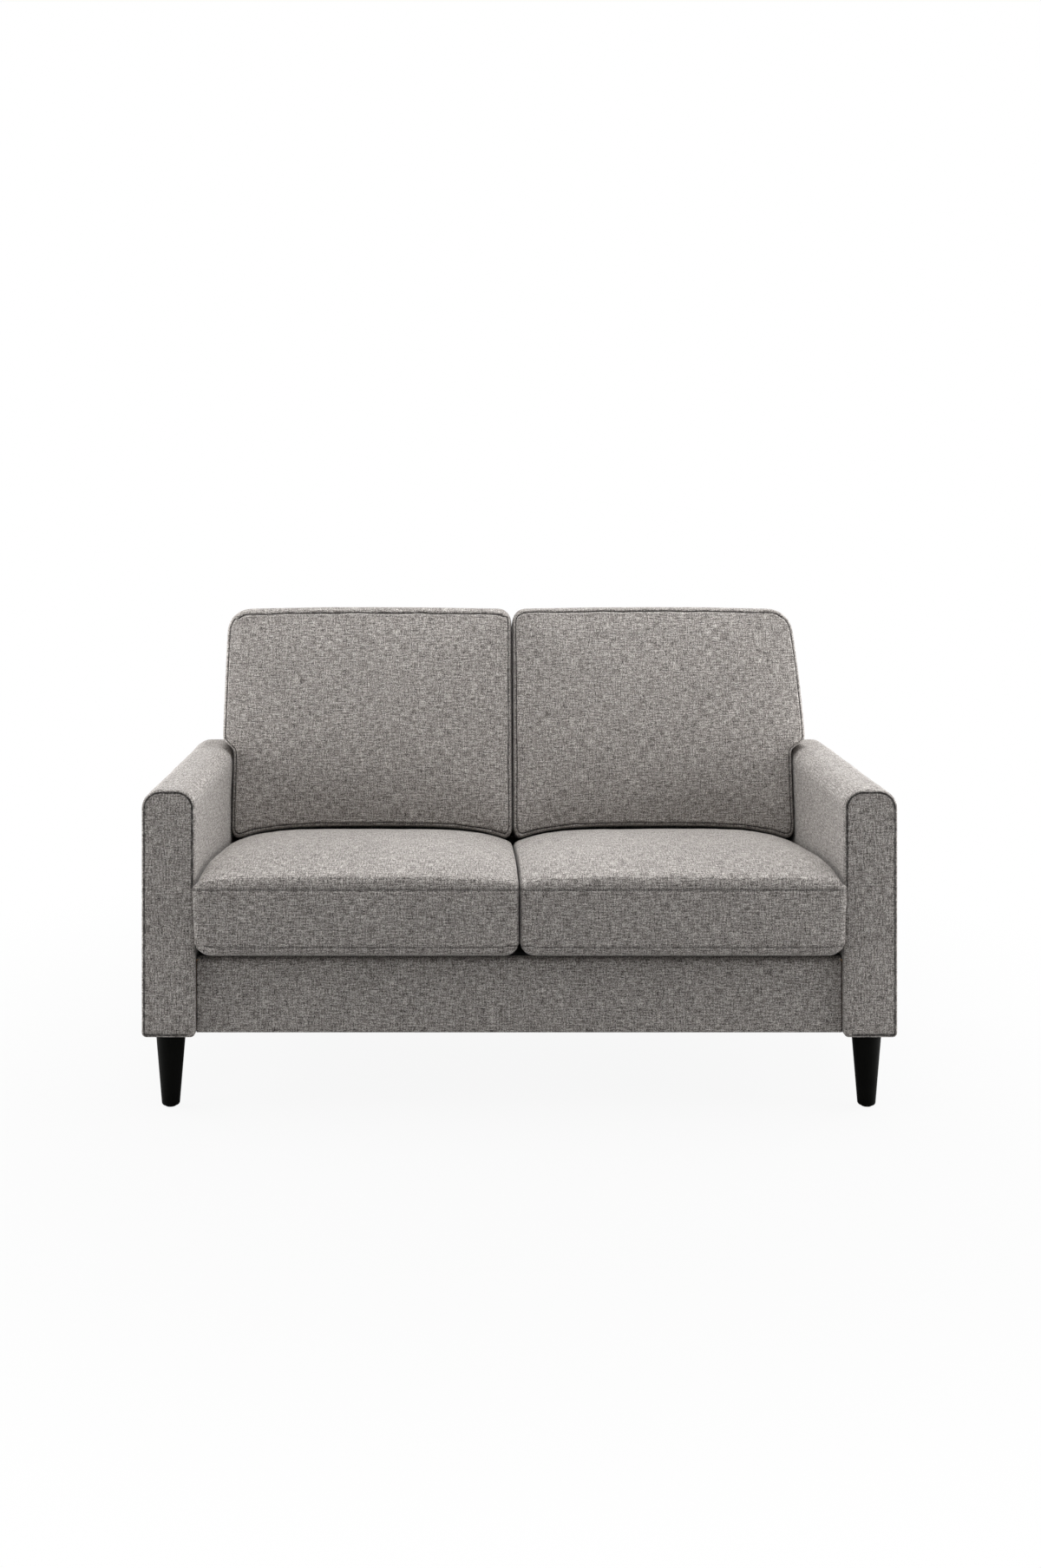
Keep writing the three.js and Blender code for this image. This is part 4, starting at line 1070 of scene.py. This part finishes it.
def back_cushion(side):
    """A boxed back cushion; both are made on the right, and the left one is then mirrored."""
    size = sizes()
    (x_low, y_low), (x_high, y_high) = seat_room("right")
    x0, x1 = x_low + size.side_puff, x_high - size.side_puff
    off_back, below_arm_top = 0.0008, 0.030
    d0, d1 = -size.back_depth, -off_back
    h0, h1 = back_spans()
    total = np.array([x1 - x0, d1 - d0, h1 - h0])
    depths = rows(total[1], BESIDE[:-1], 0.009)
    lists = [rows(total[0], BESIDE, GRID), depths, rows(total[2], BESIDE, GRID)]
    made = grid_box(f"{side}_back_cushion", lists)
    flat = points_of(made)
    share = np.round(flat / total * 2 - 1, EXACT)
    bulge_from = (arm_high.z - below_arm_top - deck_high.z) / math.cos(size.lean)
    spans = ((x0, x1), (d0, d1), (h0, h1), bulge_from, (y_low, y_high))
    insets = np.stack([flat[:, 0], total[0] - flat[:, 0], flat[:, 2], total[2] - flat[:, 2]])
    top_seam = getattr(size, f"top_seam_{side}")
    offsets = np.array([size.side_seam, size.side_seam, size.side_seam, top_seam])[:, None]
    depth_away = np.minimum(flat[:, 1], total[1] - flat[:, 1])
    wander, rim = 0.0006, 0.002
    waves = np.sin(flat[:, 0] / 0.021 + len(side)) + np.sin(flat[:, 0] / 0.0117 + flat[:, 2] / 0.03)
    behind = -depth_away - np.where(share[:, 2] == 1, top_seam, size.side_seam)
    away = np.where(np.abs(share[:, 1]) == 1, (insets - offsets).min(0), behind) + waves * wander
    bulge, taper = getattr(size, f"bulge_{side}"), getattr(size, f"taper_{side}")
    foot = back_foot()
    full = back_form(flat, total, spans, size.back_crown, foot, bulge, taper)
    start_crown = size.back_crown * 0.5
    now = back_form(flat, total, spans, start_crown, foot, bulge, taper)
    place_points(made, now)
    front = share[:, 1] == -1
    held = np.where(front & (insets.min(0) > rim), 0.0, 1.0)
    middle = (np.abs(share[:, 0]) < 0.3) & (np.abs(share[:, 2]) < 0.3) & front
    out, _ = back_frame()
    place_points(made, swollen_to(now, full, fill(made, held), middle, -out))
    behind_top = (share[:, 2] == 1) & (np.abs(share[:, 1]) < 0.9)
    free = np.where(front, 1.0, np.where(behind_top, 0.5, 0.0))
    seam_depth = 0.0024
    soften(made, away, free, seam_depth, (0.0032, 0.15), (0.0010, 0.04))
    clear_of_arm(made)
    if side == "left":
        mirror_piece(made)
    finish_cushion(made, upholstery(), f"{side}_back_cushion_cover")


def clear_of_arm(made):
    """Keeps a back cushion's side against the arm's inner face and its rounded top."""
    size = sizes()
    points = points_of(made)
    up = np.clip(points[:, 2] - (arm_high.z - size.arm_round), 0, size.arm_round)
    curve = size.arm_round - np.sqrt(size.arm_round**2 - up**2)
    limit = arm_low.x - SNUG + curve
    beside = (points[:, 2] < arm_high.z) & (points[:, 1] < arm_high.y + 0.001)
    points[:, 0] = np.where(beside, np.minimum(points[:, 0], limit), points[:, 0])
    place_points(made, points)


def mirror_piece(made):
    """Turns a right-hand piece into a left-hand one, with its faces still pointing outwards."""
    place_points(made, points_of(made) * (-1, 1, 1))
    open_whole(made)
    bpy.ops.mesh.flip_normals()
    ready()


# Covers of the frame


def corner_inset(points, low, high):
    """How far each point lies inside the arm's outline, seen from its front."""
    size = sizes()
    x = np.minimum(points[:, 0] - low.x, high.x - points[:, 0])
    above, below = high.z - points[:, 2], points[:, 2] - low.z
    inset = np.minimum.reduce([x, above, below])
    for radius, z in ((size.arm_round, above), (size.arm_foot_round, below)):
        round_inset = radius - np.hypot(radius - x, radius - z)
        inset = np.where((x < radius) & (z < radius), round_inset, inset)
    return inset


def keep_front_seam(made, points, away, low, high):
    """Keeps the distance to the arm's front seam, whose line fades beside the seat and the rail."""
    inner = points[:, 0] - low.x if low.x > 0 else high.x - points[:, 0]
    down = np.clip((sizes().corner_front - 0.01 - points[:, 2]) / 0.03, 0, 1)
    keep(made, "seam", away + 0.004 * down * (inner < 0.012))


def arm_cover(side):
    """The arm's cloth, with the groove of its front seam and the seam round its rear."""
    size = sizes()
    low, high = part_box(f"{side}_arm_cover")
    made = start(f"{side}_arm_upholstery", (low.x, arm_front, low.z), high)
    round_edges(made, size.arm_round, 10, 1, z=high.z)
    round_edges(made, size.arm_foot_round, 4, 1, z=low.z)
    divide(made, 1, 70)
    divide(made, 2, 46)
    divide(made, 0, 5)
    groove = [(0.0004, 0), (0.0007, -0.0026), (0.002, 0)]
    rear_seam = [(0.0004, 0), (0.0006, -0.0012), (0.0006, 0.0012), (0.0006, 0.0002)]
    round_edges(made, size.arm_roll, 5, y=arm_front)
    sink(made, 1, -1, 0.01, groove)
    round_edges(made, size.arm_rear_roll, 5, y=high.y)
    sink(made, 1, 1, 0.01, rear_seam)
    ready()
    points = points_of(made)
    ends = np.minimum(np.abs(points[:, 1] - arm_front), np.abs(points[:, 1] - high.y))
    group_of(made, "free", ramp(ends, 0.004, 0.03))
    ruffle(made, (0.0036, 0.10))
    points = points_of(made)
    inset = corner_inset(points, low, high)
    away = np.hypot(inset - size.arm_roll - 0.0008, np.maximum(ends - 0.001, 0))
    keep_front_seam(made, points, away, low, high)
    inner = (low.x - 0.0001, 1) if side == "right" else (-1, high.x + 0.0001)
    points[:, 0] = np.clip(points[:, 0], *inner)
    points[:, 2] = np.maximum(points[:, 2], low.z)
    place_points(made, points)
    finish_cover(made, f"{side}_arm_cover")


def arm_panel(side):
    """The sewn panel that closes the arm's front, a soft pad whose edge sits in the seam's groove."""
    low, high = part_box(f"{side}_arm_cover")
    size = sizes()
    thick, roll, sunk = 0.0027, 0.0013, 0.00095
    swell, swell_run = 0.0014, 0.023
    by = size.arm_roll + 0.0009
    half = np.array([(high.x - low.x) / 2 - by, thick / 2, (high.z - low.z) / 2 - by])
    beside = [0, 0.0004, 0.0008, roll, 0.003, 0.006, 0.010, 0.015, 0.022]
    depths = np.array([0, 0.0005, 0.0009, roll, thick])
    lists = [rows(half[0] * 2, beside, 0.008), depths, rows(half[2] * 2, beside, 0.012)]
    made = grid_box(f"{side}_arm_front_cloth", lists)
    flat = points_of(made) - half
    radii = np.where(flat[:, 2] > 0, size.arm_round - by, size.arm_foot_round - by)
    middle = np.array([(low.x + high.x) / 2, arm_front + sunk, (low.z + high.z) / 2])
    points = boxed(flat, half, roll, radii) + middle
    inset = corner_inset(points, low, high)
    rise = 1 - (1 - ramp(inset, by, swell_run)) ** 2
    points[:, 1] = points[:, 1] - swell * rise * (flat[:, 1] < 0)
    place_points(made, points)
    group_of(made, "free", ramp(inset, by + 0.002, 0.015))
    ruffle(made, (0.0028, 0.12))
    away = np.hypot(inset - by, np.maximum(points[:, 1] - arm_front, 0))
    keep_front_seam(made, points, away, low, high)
    finish_cover(made, f"{side}_arm_front_panel", turned=True)


def stitch_template(long, width, height):
    """One stitch: a short rounded length of thread along X."""
    ready()
    bpy.ops.mesh.primitive_uv_sphere_add(segments=6, ring_count=4, radius=0.5)
    made = bpy.context.active_object
    made.rotation_euler.y = math.pi / 2
    settle(made)
    made.scale = (long, width, height)
    return settle(made)


def arm_stitches(side):
    """The row of stitches round the arm's front edge, just behind the seam."""
    size = sizes()
    low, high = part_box(f"{side}_arm_cover")
    y = panel_front + size.arm_roll + 0.0022
    radius = size.arm_round
    line = [((low.x, low.z + 0.012), (-1, 0)), ((low.x, high.z - radius), (-1, 0))]
    for middle_x, first in ((low.x + radius, math.pi), (high.x - radius, math.pi / 2)):
        for step in range(0 if middle_x > low.x + radius else 1, 9):
            angle = first - math.pi / 2 * step / 8
            out = (math.cos(angle), math.sin(angle))
            line.append(((middle_x + radius * out[0], high.z - radius + radius * out[1]), out))
    line.append(((high.x, low.z + 0.012), (1, 0)))
    places = []
    left_over = 0.0
    for (a, out_a), (b, out_b) in zip(line, line[1:]):
        a, b, out_a, out_b = Vector(a), Vector(b), Vector(out_a), Vector(out_b)
        run = (b - a).length
        spot = left_over
        while spot < run:
            share = spot / run
            out = out_a.lerp(out_b, share).normalized()
            place = a.lerp(b, share) + out * 0.0001
            step = (b - a).normalized()
            places.append(stood((place.x, y, place.y), (step.x, 0, step.y), (out.x, 0, out.y)))
            spot += size.stitch_step
        left_over = spot - run
    template = stitch_template(size.stitch, 0.0008, 0.0007)
    made = repeat(f"{side}_arm_stitches", template, places)
    thread = plain_material("Sewing thread", colours().thread, (0.6, 0.8), 0.2, 900)
    finish_piece(made, thread, "frame", degrees=80)


def back_upholstery():
    """The leaning back: a slab with a rolled top and a sewn panel on its rear."""
    size = sizes()
    out, up = back_frame()
    foot = back_foot()
    thick, top_roll, foot_z, seam_inset = 0.060, 0.020, -0.18, 0.0145
    tall = (back_high.z - deck_high.z) / math.cos(size.lean) + thick * math.tan(size.lean) * 0.1
    made = start("back_upholstery", (back_low.x, 0, foot_z), (back_high.x, thick, tall))
    round_edges(made, top_roll, 7, 0, z=tall)
    ends = (back_low.x, back_high.x)
    bevel(made, lambda e: any(at(e, x=end) for end in ends) and not at(e, z=foot_z), 0.004, 3)
    steps = [(0.010, 0.0006), (0.001, -0.0018), (0.001, 0.0018), (0.012, 0.0008), (0.05, 0.001)]
    sink(made, 1, 1, 0.1, steps)
    divide(made, 0, 90)
    divide(made, 2, 50)
    ready()
    points = points_of(made)
    inner = np.minimum(points[:, 0] - back_low.x, back_high.x - points[:, 0])
    inner = np.minimum(inner, tall - top_roll - points[:, 2])
    rear = points[:, 1] > thick - 0.003
    keep(made, "seam", np.where(rear, np.abs(inner - seam_inset), 1))
    ruffle(made, (0.0030, 0.16))
    points = points_of(made)
    placed = foot + np.outer(np.maximum(points[:, 1], 0), out) + np.outer(points[:, 2], up)
    placed[:, 0] = np.clip(points[:, 0], *ends)
    place_points(made, placed)
    open_whole(made)
    bpy.ops.mesh.bisect(
        plane_co=(0, 0, back_low.z), plane_no=(0, 0, -1), use_fill=True, clear_outer=True
    )
    ready()
    finish_cover(made, "back_cover")


def rail_upholstery():
    """The front rail's cover: one cloth that wraps the rail's face, top and foot."""
    low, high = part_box("front_rail_cover")
    lip = deck_low.y - 0.0003
    short, cloth_thick, top_roll, foot_roll = 0.0006, 0.0035, 0.013, 0.006
    corners = ((low.x + short, low.y, low.z), (high.x - short, high.y, high.z))
    made = start("front_rail_upholstery", *corners)
    pick(made, "FACE", lambda f: f.normal.y > 0.99 or abs(f.normal.x) > 0.99)
    bpy.ops.mesh.delete(type="FACE")
    pick(made, "EDGE", lambda e: runs(e, 0) and at(e, y=high.y, z=high.z))
    bpy.ops.transform.translate(value=(0, lip - high.y, 0))
    round_edges(made, top_roll, 7, 0, y=low.y, z=high.z)
    round_edges(made, foot_roll, 4, 0, y=low.y, z=low.z)
    divide(made, 0, 110)
    divide(made, 2, 14)
    ready()
    z = points_of(made)[:, 2]
    below_top = np.clip((high.z - 0.015 - z) / 0.02, 0, 1)
    group_of(made, "free", below_top * ramp(z, low.z + 0.004, 0.01))
    ruffle(made, (0.0030, 0.12))
    points = points_of(made)
    ends = np.minimum(points[:, 0] - low.x, high.x - points[:, 0]) - short
    turned = 0.0022 * (1 - ramp(ends, 0, 0.0036)) ** 2
    points[:, 1] += np.where(points[:, 1] < low.y + 0.003, turned, 0)
    place_points(made, points)
    apply(made, "SOLIDIFY", "Cloth and wadding", thickness=cloth_thick, offset=-1)
    x = points_of(made)[:, 0]
    # Painted shade: the seam material draws a dark line at the cover's ends, as the shadow of the crevice
    # where it meets the arms.
    keep(made, "seam", np.maximum(np.minimum(x - low.x, high.x - x) - short, 0))
    finish_cover(made, "front_rail_cover")


def deck_pad():
    """The felt pad over the springs, in its dark cloth."""
    made = start("deck_padding", deck_low, deck_high)
    round_edges(made, 0.003, 3, 0, z=deck_high.z)
    divide(made, 0, 80)
    divide(made, 1, 40)
    ready()
    group_of(made, "free", np.where(points_of(made)[:, 2] > deck_high.z - 0.001, 1.0, 0.0))
    ruffle(made, (0.0016, 0.09))
    points = points_of(made)
    keep(made, "seam", np.abs(points[:, 1] - deck_low.y - 0.012))
    points[:, 2] = np.minimum(points[:, 2], deck_high.z)
    place_points(made, points)
    lay_cloth(made)
    finish_piece(made, deck_cloth(), "frame", ["seat_deck_pad"])


def staple_template():
    """One staple: a crown with two short legs, along X."""
    made = start("staple", (-0.005, -0.0006, -0.0002), (0.005, 0.0006, 0.0007))
    round_edges(made, 0.0004, 2, 1, z=0.0007)
    ready()
    return made


def dust_cover():
    """The thin cloth stapled under the seat, a little slack between its staples."""
    low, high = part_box("seat_dust_cover")
    middle = (low + high) / 2
    ready()
    bpy.ops.mesh.primitive_grid_add(x_subdivisions=120, y_subdivisions=54, size=1, location=middle)
    cut_size = (high.x - low.x - 0.004, high.y - low.y - 0.004)
    bpy.context.active_object.scale = (*cut_size, 1)
    made = added("dust_cloth")
    points = points_of(made)
    sides = points[:, 0] - low.x, high.x - points[:, 0], points[:, 1] - low.y, high.y - points[:, 1]
    edge = np.minimum.reduce(sides)
    group_of(made, "free", ramp(edge, 0.01, 0.08))
    ruffle(made, (0.004, 0.07))
    points = points_of(made)
    points[:, 2] = np.clip(points[:, 2] - 0.0004, low.z - 0.004, high.z - 0.0002)
    place_points(made, points)
    keep(made, "seam", np.abs(edge - 0.012))
    lay_cloth(made)
    finish_piece(made, deck_cloth(), "frame", ["seat_dust_cover"])
    step = 0.055
    spots = [
        (x, y, (1, 0, 0))
        for y in (low.y + 0.008, high.y - 0.012)
        for x in np.arange(low.x + 0.04, high.x - 0.02, step)
    ]
    spots += [
        (x, y, (0, 1, 0))
        for x in (low.x + 0.008, high.x - 0.008)
        for y in np.arange(low.y + 0.05, high.y - 0.03, step)
    ]
    places = [stood((x, y, low.z - 0.0001), along, (0, 0, -1)) for x, y, along in spots]
    staples = repeat("dust_cloth_staples", staple_template(), places)
    finish_piece(staples, zinc(), "frame", degrees=30)


def leg(side, end):
    """A turned tapered leg with a plastic glide under its foot."""
    node = f"{side}_{end}_leg"
    low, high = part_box(node)
    middle = (low + high) / 2
    top = (high.x - low.x) / 2
    foot, glide = 0.017, 0.0025
    slope = (top - foot) / (high.z - low.z)
    ready()
    bpy.ops.mesh.primitive_cone_add(
        vertices=56,
        radius1=foot + slope * glide,
        radius2=top,
        depth=high.z - glide,
        location=(middle.x, middle.y, (high.z + glide) / 2),
    )
    made = opened(added(f"{node}_turned"))
    round_edges(made, 0.0045, 5, z=glide)
    round_edges(made, 0.0012, 3, z=high.z)
    sink(made, 2, -1, 1e-5, [(0.002, 0)])
    sink(made, 2, 1, 1e-5, [(0.002, 0)])
    pick(made, "EDGE", lambda e: abs((e.verts[1].co - e.verts[0].co).z) > 0.1)
    bpy.ops.mesh.subdivide(number_cuts=10)
    ready()
    look = {"bump": 0.00006, "Specular_IOR_Level": 0.05}
    paint = plain_material("Leg paint", colours().paint, (0.38, 0.5), 0.15, 24, **look)
    finish_piece(made, paint, "frame", [node], 35)
    ready()
    tall = glide + 0.001
    bpy.ops.mesh.primitive_cylinder_add(
        vertices=40, radius=0.0105, depth=tall, location=(middle.x, middle.y, tall / 2)
    )
    pad = opened(added(f"{side}_{end}_glide"))
    round_edges(pad, 0.0009, 3, z=0)
    ready()
    nylon = plain_material("Glide nylon", (0.02, 0.02, 0.021), (0.4, 0.6), 0.15, 120)
    finish_piece(pad, nylon, "frame", degrees=35)


def zip_pieces(side, kind):
    """A coil zip in a cushion's boxing: two tapes, the teeth, a slider and its pull."""
    size = sizes()
    low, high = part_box(f"{side}_seat_cushion_cover")
    middle = (low.x + high.x) / 2
    half = (high.x - low.x) * 0.4
    if kind == "seat":
        centre = Vector((middle, high.y - 0.0026, (low.z + size.corner_rear) / 2))
        facing = Vector((0, 1, 0))
    else:
        out, up = back_frame()
        spot = back_foot() + out * (-size.back_depth / 2) + up * (back_spans()[0] + 0.0010)
        centre = Vector((middle, spot[1], spot[2]))
        facing = Vector(-up)
    turn = stood(centre, (1, 0, 0), facing)
    body = f"{side}_{kind}_cushion"
    paint = colours()
    dark = shaded(paint.cloth, 0.45)
    cloth = cloth_material("Zip tape", dark, paint.cloth, paint.cloth_dark, paint.thread, 0.4)
    thick, tape_near, tape_far, tooth_step = 0.0007, 0.0022, 0.0105, 0.0019
    for part, sign in (("upper", 1), ("lower", -1)):
        y0, y1 = sorted((sign * tape_near, sign * tape_far))
        tape = start(f"{body}_zip_tape_{part}", (-half, y0, 0), (half, y1, thick))
        round_edges(tape, 0.0003, 2, 0, z=thick)
        divide(tape, 0, 60)
        ready()
        tape.matrix_world = turn
        settle(tape)
        keep(tape, "seam", np.full(len(tape.data.vertices), 1.0))
        lay_cloth(tape)
        finish_piece(tape, cloth, body, degrees=40)
    tooth = start("tooth", (-0.0005, -0.0021, 0), (0.0005, 0.0021, 0.0011))
    round_edges(tooth, 0.0003, 1, z=0.0011)
    ready()
    places = [
        turn @ Matrix.Translation((x, (index % 2 - 0.5) * 0.0006, 0))
        for index, x in enumerate(np.arange(-half + 0.004, half - 0.004, tooth_step))
    ]
    teeth = repeat(f"{body}_zip_coil", tooth, places)
    nylon = plain_material("Zip nylon", (0.05, 0.047, 0.045), (0.35, 0.5), 0.2, 300)
    finish_piece(teeth, nylon, body, degrees=30)
    corners = ((half - 0.016, -0.0042, 0.0004), (half - 0.005, 0.0042, 0.0021))
    slider = start(f"{body}_zip_slider", *corners)
    round_edges(slider, 0.0007, 3, z=0.0021)
    sink(slider, 2, 1, 1e-5, [(0.0012, 0), (0.0006, -0.0004)])
    ready()
    slider.matrix_world = turn
    settle(slider)
    finish_piece(slider, zinc(), body, degrees=35)


# Operators


class LOVESEAT_OT_stage(bpy.types.Operator):
    """Makes the studio: camera, soft lamps, floor and white surroundings"""

    bl_idname = "loveseat.stage"
    bl_label = "Studio"

    def execute(self, context):
        scene = context.scene
        lens = bpy.data.cameras.new("Photo camera")
        lens.lens, lens.sensor_width = 41.94, 36
        lens.shift_x, lens.shift_y = 0.0332, -0.1918
        lens.clip_end = 200
        camera = bpy.data.objects.new("Photo camera", lens)
        camera.location = (-0.098, -3.890, 1.214)
        camera.rotation_euler = (math.pi / 2, 0, 0)
        scene.collection.objects.link(camera)
        scene.camera = camera
        scene.view_settings.view_transform = "Standard"
        for name, spot, reach, power in (
            ("Overhead", (0.2, 0.1, 3.2), (4.0, 4.0), 147),
            ("Left side", (-2.6, 0.2, 0.85), (3.0, 1.3), 90),
            ("Right side", (2.6, 0.2, 0.85), (3.0, 1.3), 98),
            ("Front fill", (0.2, -3.6, 3.8), (2.0, 2.0), 17),
        ):
            lamp = bpy.data.lights.new(name, "AREA")
            lamp.shape, lamp.energy = "RECTANGLE", power
            lamp.size, lamp.size_y = reach
            holder = bpy.data.objects.new(name, lamp)
            holder.location = spot
            aim = Vector((0, 0, 0.5)) - Vector(spot)
            holder.rotation_euler = aim.to_track_quat("-Z", "Y").to_euler()
            scene.collection.objects.link(holder)
        self.surroundings(scene)
        self.floor()
        return {"FINISHED"}

    def surroundings(self, scene):
        world = bpy.data.worlds.new("Studio")
        world.use_nodes = True
        scene.world = world
        tree = world.node_tree
        seen = add(tree, "LightPath").outputs
        direct = worked(tree, "MAXIMUM", seen["Is Camera Ray"], seen["Is Glossy Ray"])
        direct = worked(tree, "MAXIMUM", direct, seen["Is Transmission Ray"])
        strength = ranged(tree, direct, 0.0, 1.0, 0.06, 1.0)
        feed(tree, tree.nodes["Background"], {"Color": (1, 1, 1, 1), "Strength": strength})

    def floor(self):
        ready()
        bpy.ops.mesh.primitive_circle_add(vertices=96, radius=60, fill_type="NGON", location=(0, 0, 0))
        floor = added("Floor")
        material, tree, shader = new_material("Floor")
        place = own_place(tree)
        tone = ranged(tree, noise(tree, place, 3, 3, 0.5), 0.3, 0.7, 0.985, 1.015)
        colour = toned(tree, opaque(colours().floor), tone)
        feed(tree, shader, {"Base Color": colour, "Roughness": 0.8})
        away = add(tree, "VectorMath", {0: place}, operation="LENGTH").outputs["Value"]
        seen = add(tree, "LightPath").outputs["Is Camera Ray"]
        white = worked(tree, "MULTIPLY", eased(tree, away, 0.9, 2.0, 0.92, 1.0), seen)
        glow = add(tree, "Emission").outputs[0]
        both = add(tree, "MixShader", {0: white, 1: shader.outputs[0], 2: glow})
        feed(tree, tree.nodes["Material Output"], {"Surface": both.outputs[0]})
        floor.data.materials.append(material)


class LOVESEAT_OT_frame(bpy.types.Operator):
    """Gives the timbers, springs, clips, bolts and foam cores their finishes"""

    bl_idname = "loveseat.frame"
    bl_label = "Frame, springs and foam"

    def execute(self, context):
        paint = colours()
        foam = plain_material("Cut foam", paint.foam, (0.85, 1.0), 0.08, 420, bump=0.0004)
        steel = plain_material("Spring wire", paint.steel, (0.35, 0.55), 0.25, 90, Metallic=0.9)
        for name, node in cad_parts.items():
            low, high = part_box(name)
            span = high - low
            if name.endswith("_foam"):
                finish = foam
            elif name.startswith("seat_spring"):
                finish = steel
            elif any(word in name for word in ("bolt", "nut", "clips")):
                finish = zinc()
            else:
                finish = timber(max(range(3), key=lambda axis: span[axis]))
            node.data.materials.clear()
            node.data.materials.append(finish)
        return {"FINISHED"}


def step_class(name, text, works, places):
    """An operator that makes some pieces at each place."""

    def execute(self, context):
        for place in places:
            for work in works:
                work(*place)
        return {"FINISHED"}

    values = {"bl_idname": f"loveseat.{name}", "bl_label": named(name), "execute": execute}
    return type(f"LOVESEAT_OT_{name}", (bpy.types.Operator,), {"__doc__": text, **values})


PAIR = [(side,) for side in SIDES]
ZIPS = [(side, kind) for side in SIDES for kind in ("seat", "back")]
CORNERS = [(side, end) for side in SIDES for end in ("front", "rear")]
ARM = (arm_cover, arm_panel, arm_stitches)
BASE = (rail_upholstery, deck_pad, dust_cover)
STEPS = (
    ("seat_cushions", "Makes the two seat cushions with their seams", [seat_cushion], PAIR),
    ("back_cushions", "Makes the two back cushions with their seams", [back_cushion], PAIR),
    ("zips", "Makes the zip in the boxing of each cushion", [zip_pieces], ZIPS),
    ("arms", "Makes the arms' covers, panels and stitches", ARM, PAIR),
    ("back", "Makes the back's upholstery", [back_upholstery], [()]),
    ("base", "Makes the rail's cover, deck and dust cloth", BASE, [()]),
    ("legs", "Makes the four turned legs and their glides", [leg], CORNERS),
)
OPERATORS = (LOVESEAT_OT_stage, LOVESEAT_OT_frame, *(step_class(*step) for step in STEPS))


class LOVESEAT_PT_panel(bpy.types.Panel):
    """Lists the steps that dress the loveseat"""

    bl_label = "Loveseat"
    bl_idname = "LOVESEAT_PT_panel"
    bl_space_type = "VIEW_3D"
    bl_region_type = "UI"
    bl_category = "Loveseat"

    def draw(self, context):
        for step in OPERATORS:
            self.layout.operator(step.bl_idname)


CLASSES = (LoveseatSizes, LoveseatColours, *OPERATORS, LOVESEAT_PT_panel)


def register():
    for made in CLASSES:
        bpy.utils.register_class(made)
    bpy.types.Scene.loveseat_sizes = PointerProperty(type=LoveseatSizes)
    bpy.types.Scene.loveseat_colours = PointerProperty(type=LoveseatColours)


def unregister():
    del bpy.types.Scene.loveseat_colours
    del bpy.types.Scene.loveseat_sizes
    for made in reversed(CLASSES):
        bpy.utils.unregister_class(made)


def main():
    register()
    for step in OPERATORS:
        group, name = step.bl_idname.split(".")
        getattr(getattr(bpy.ops, group), name)()
    ready()


if __name__ == "__main__":
    main()
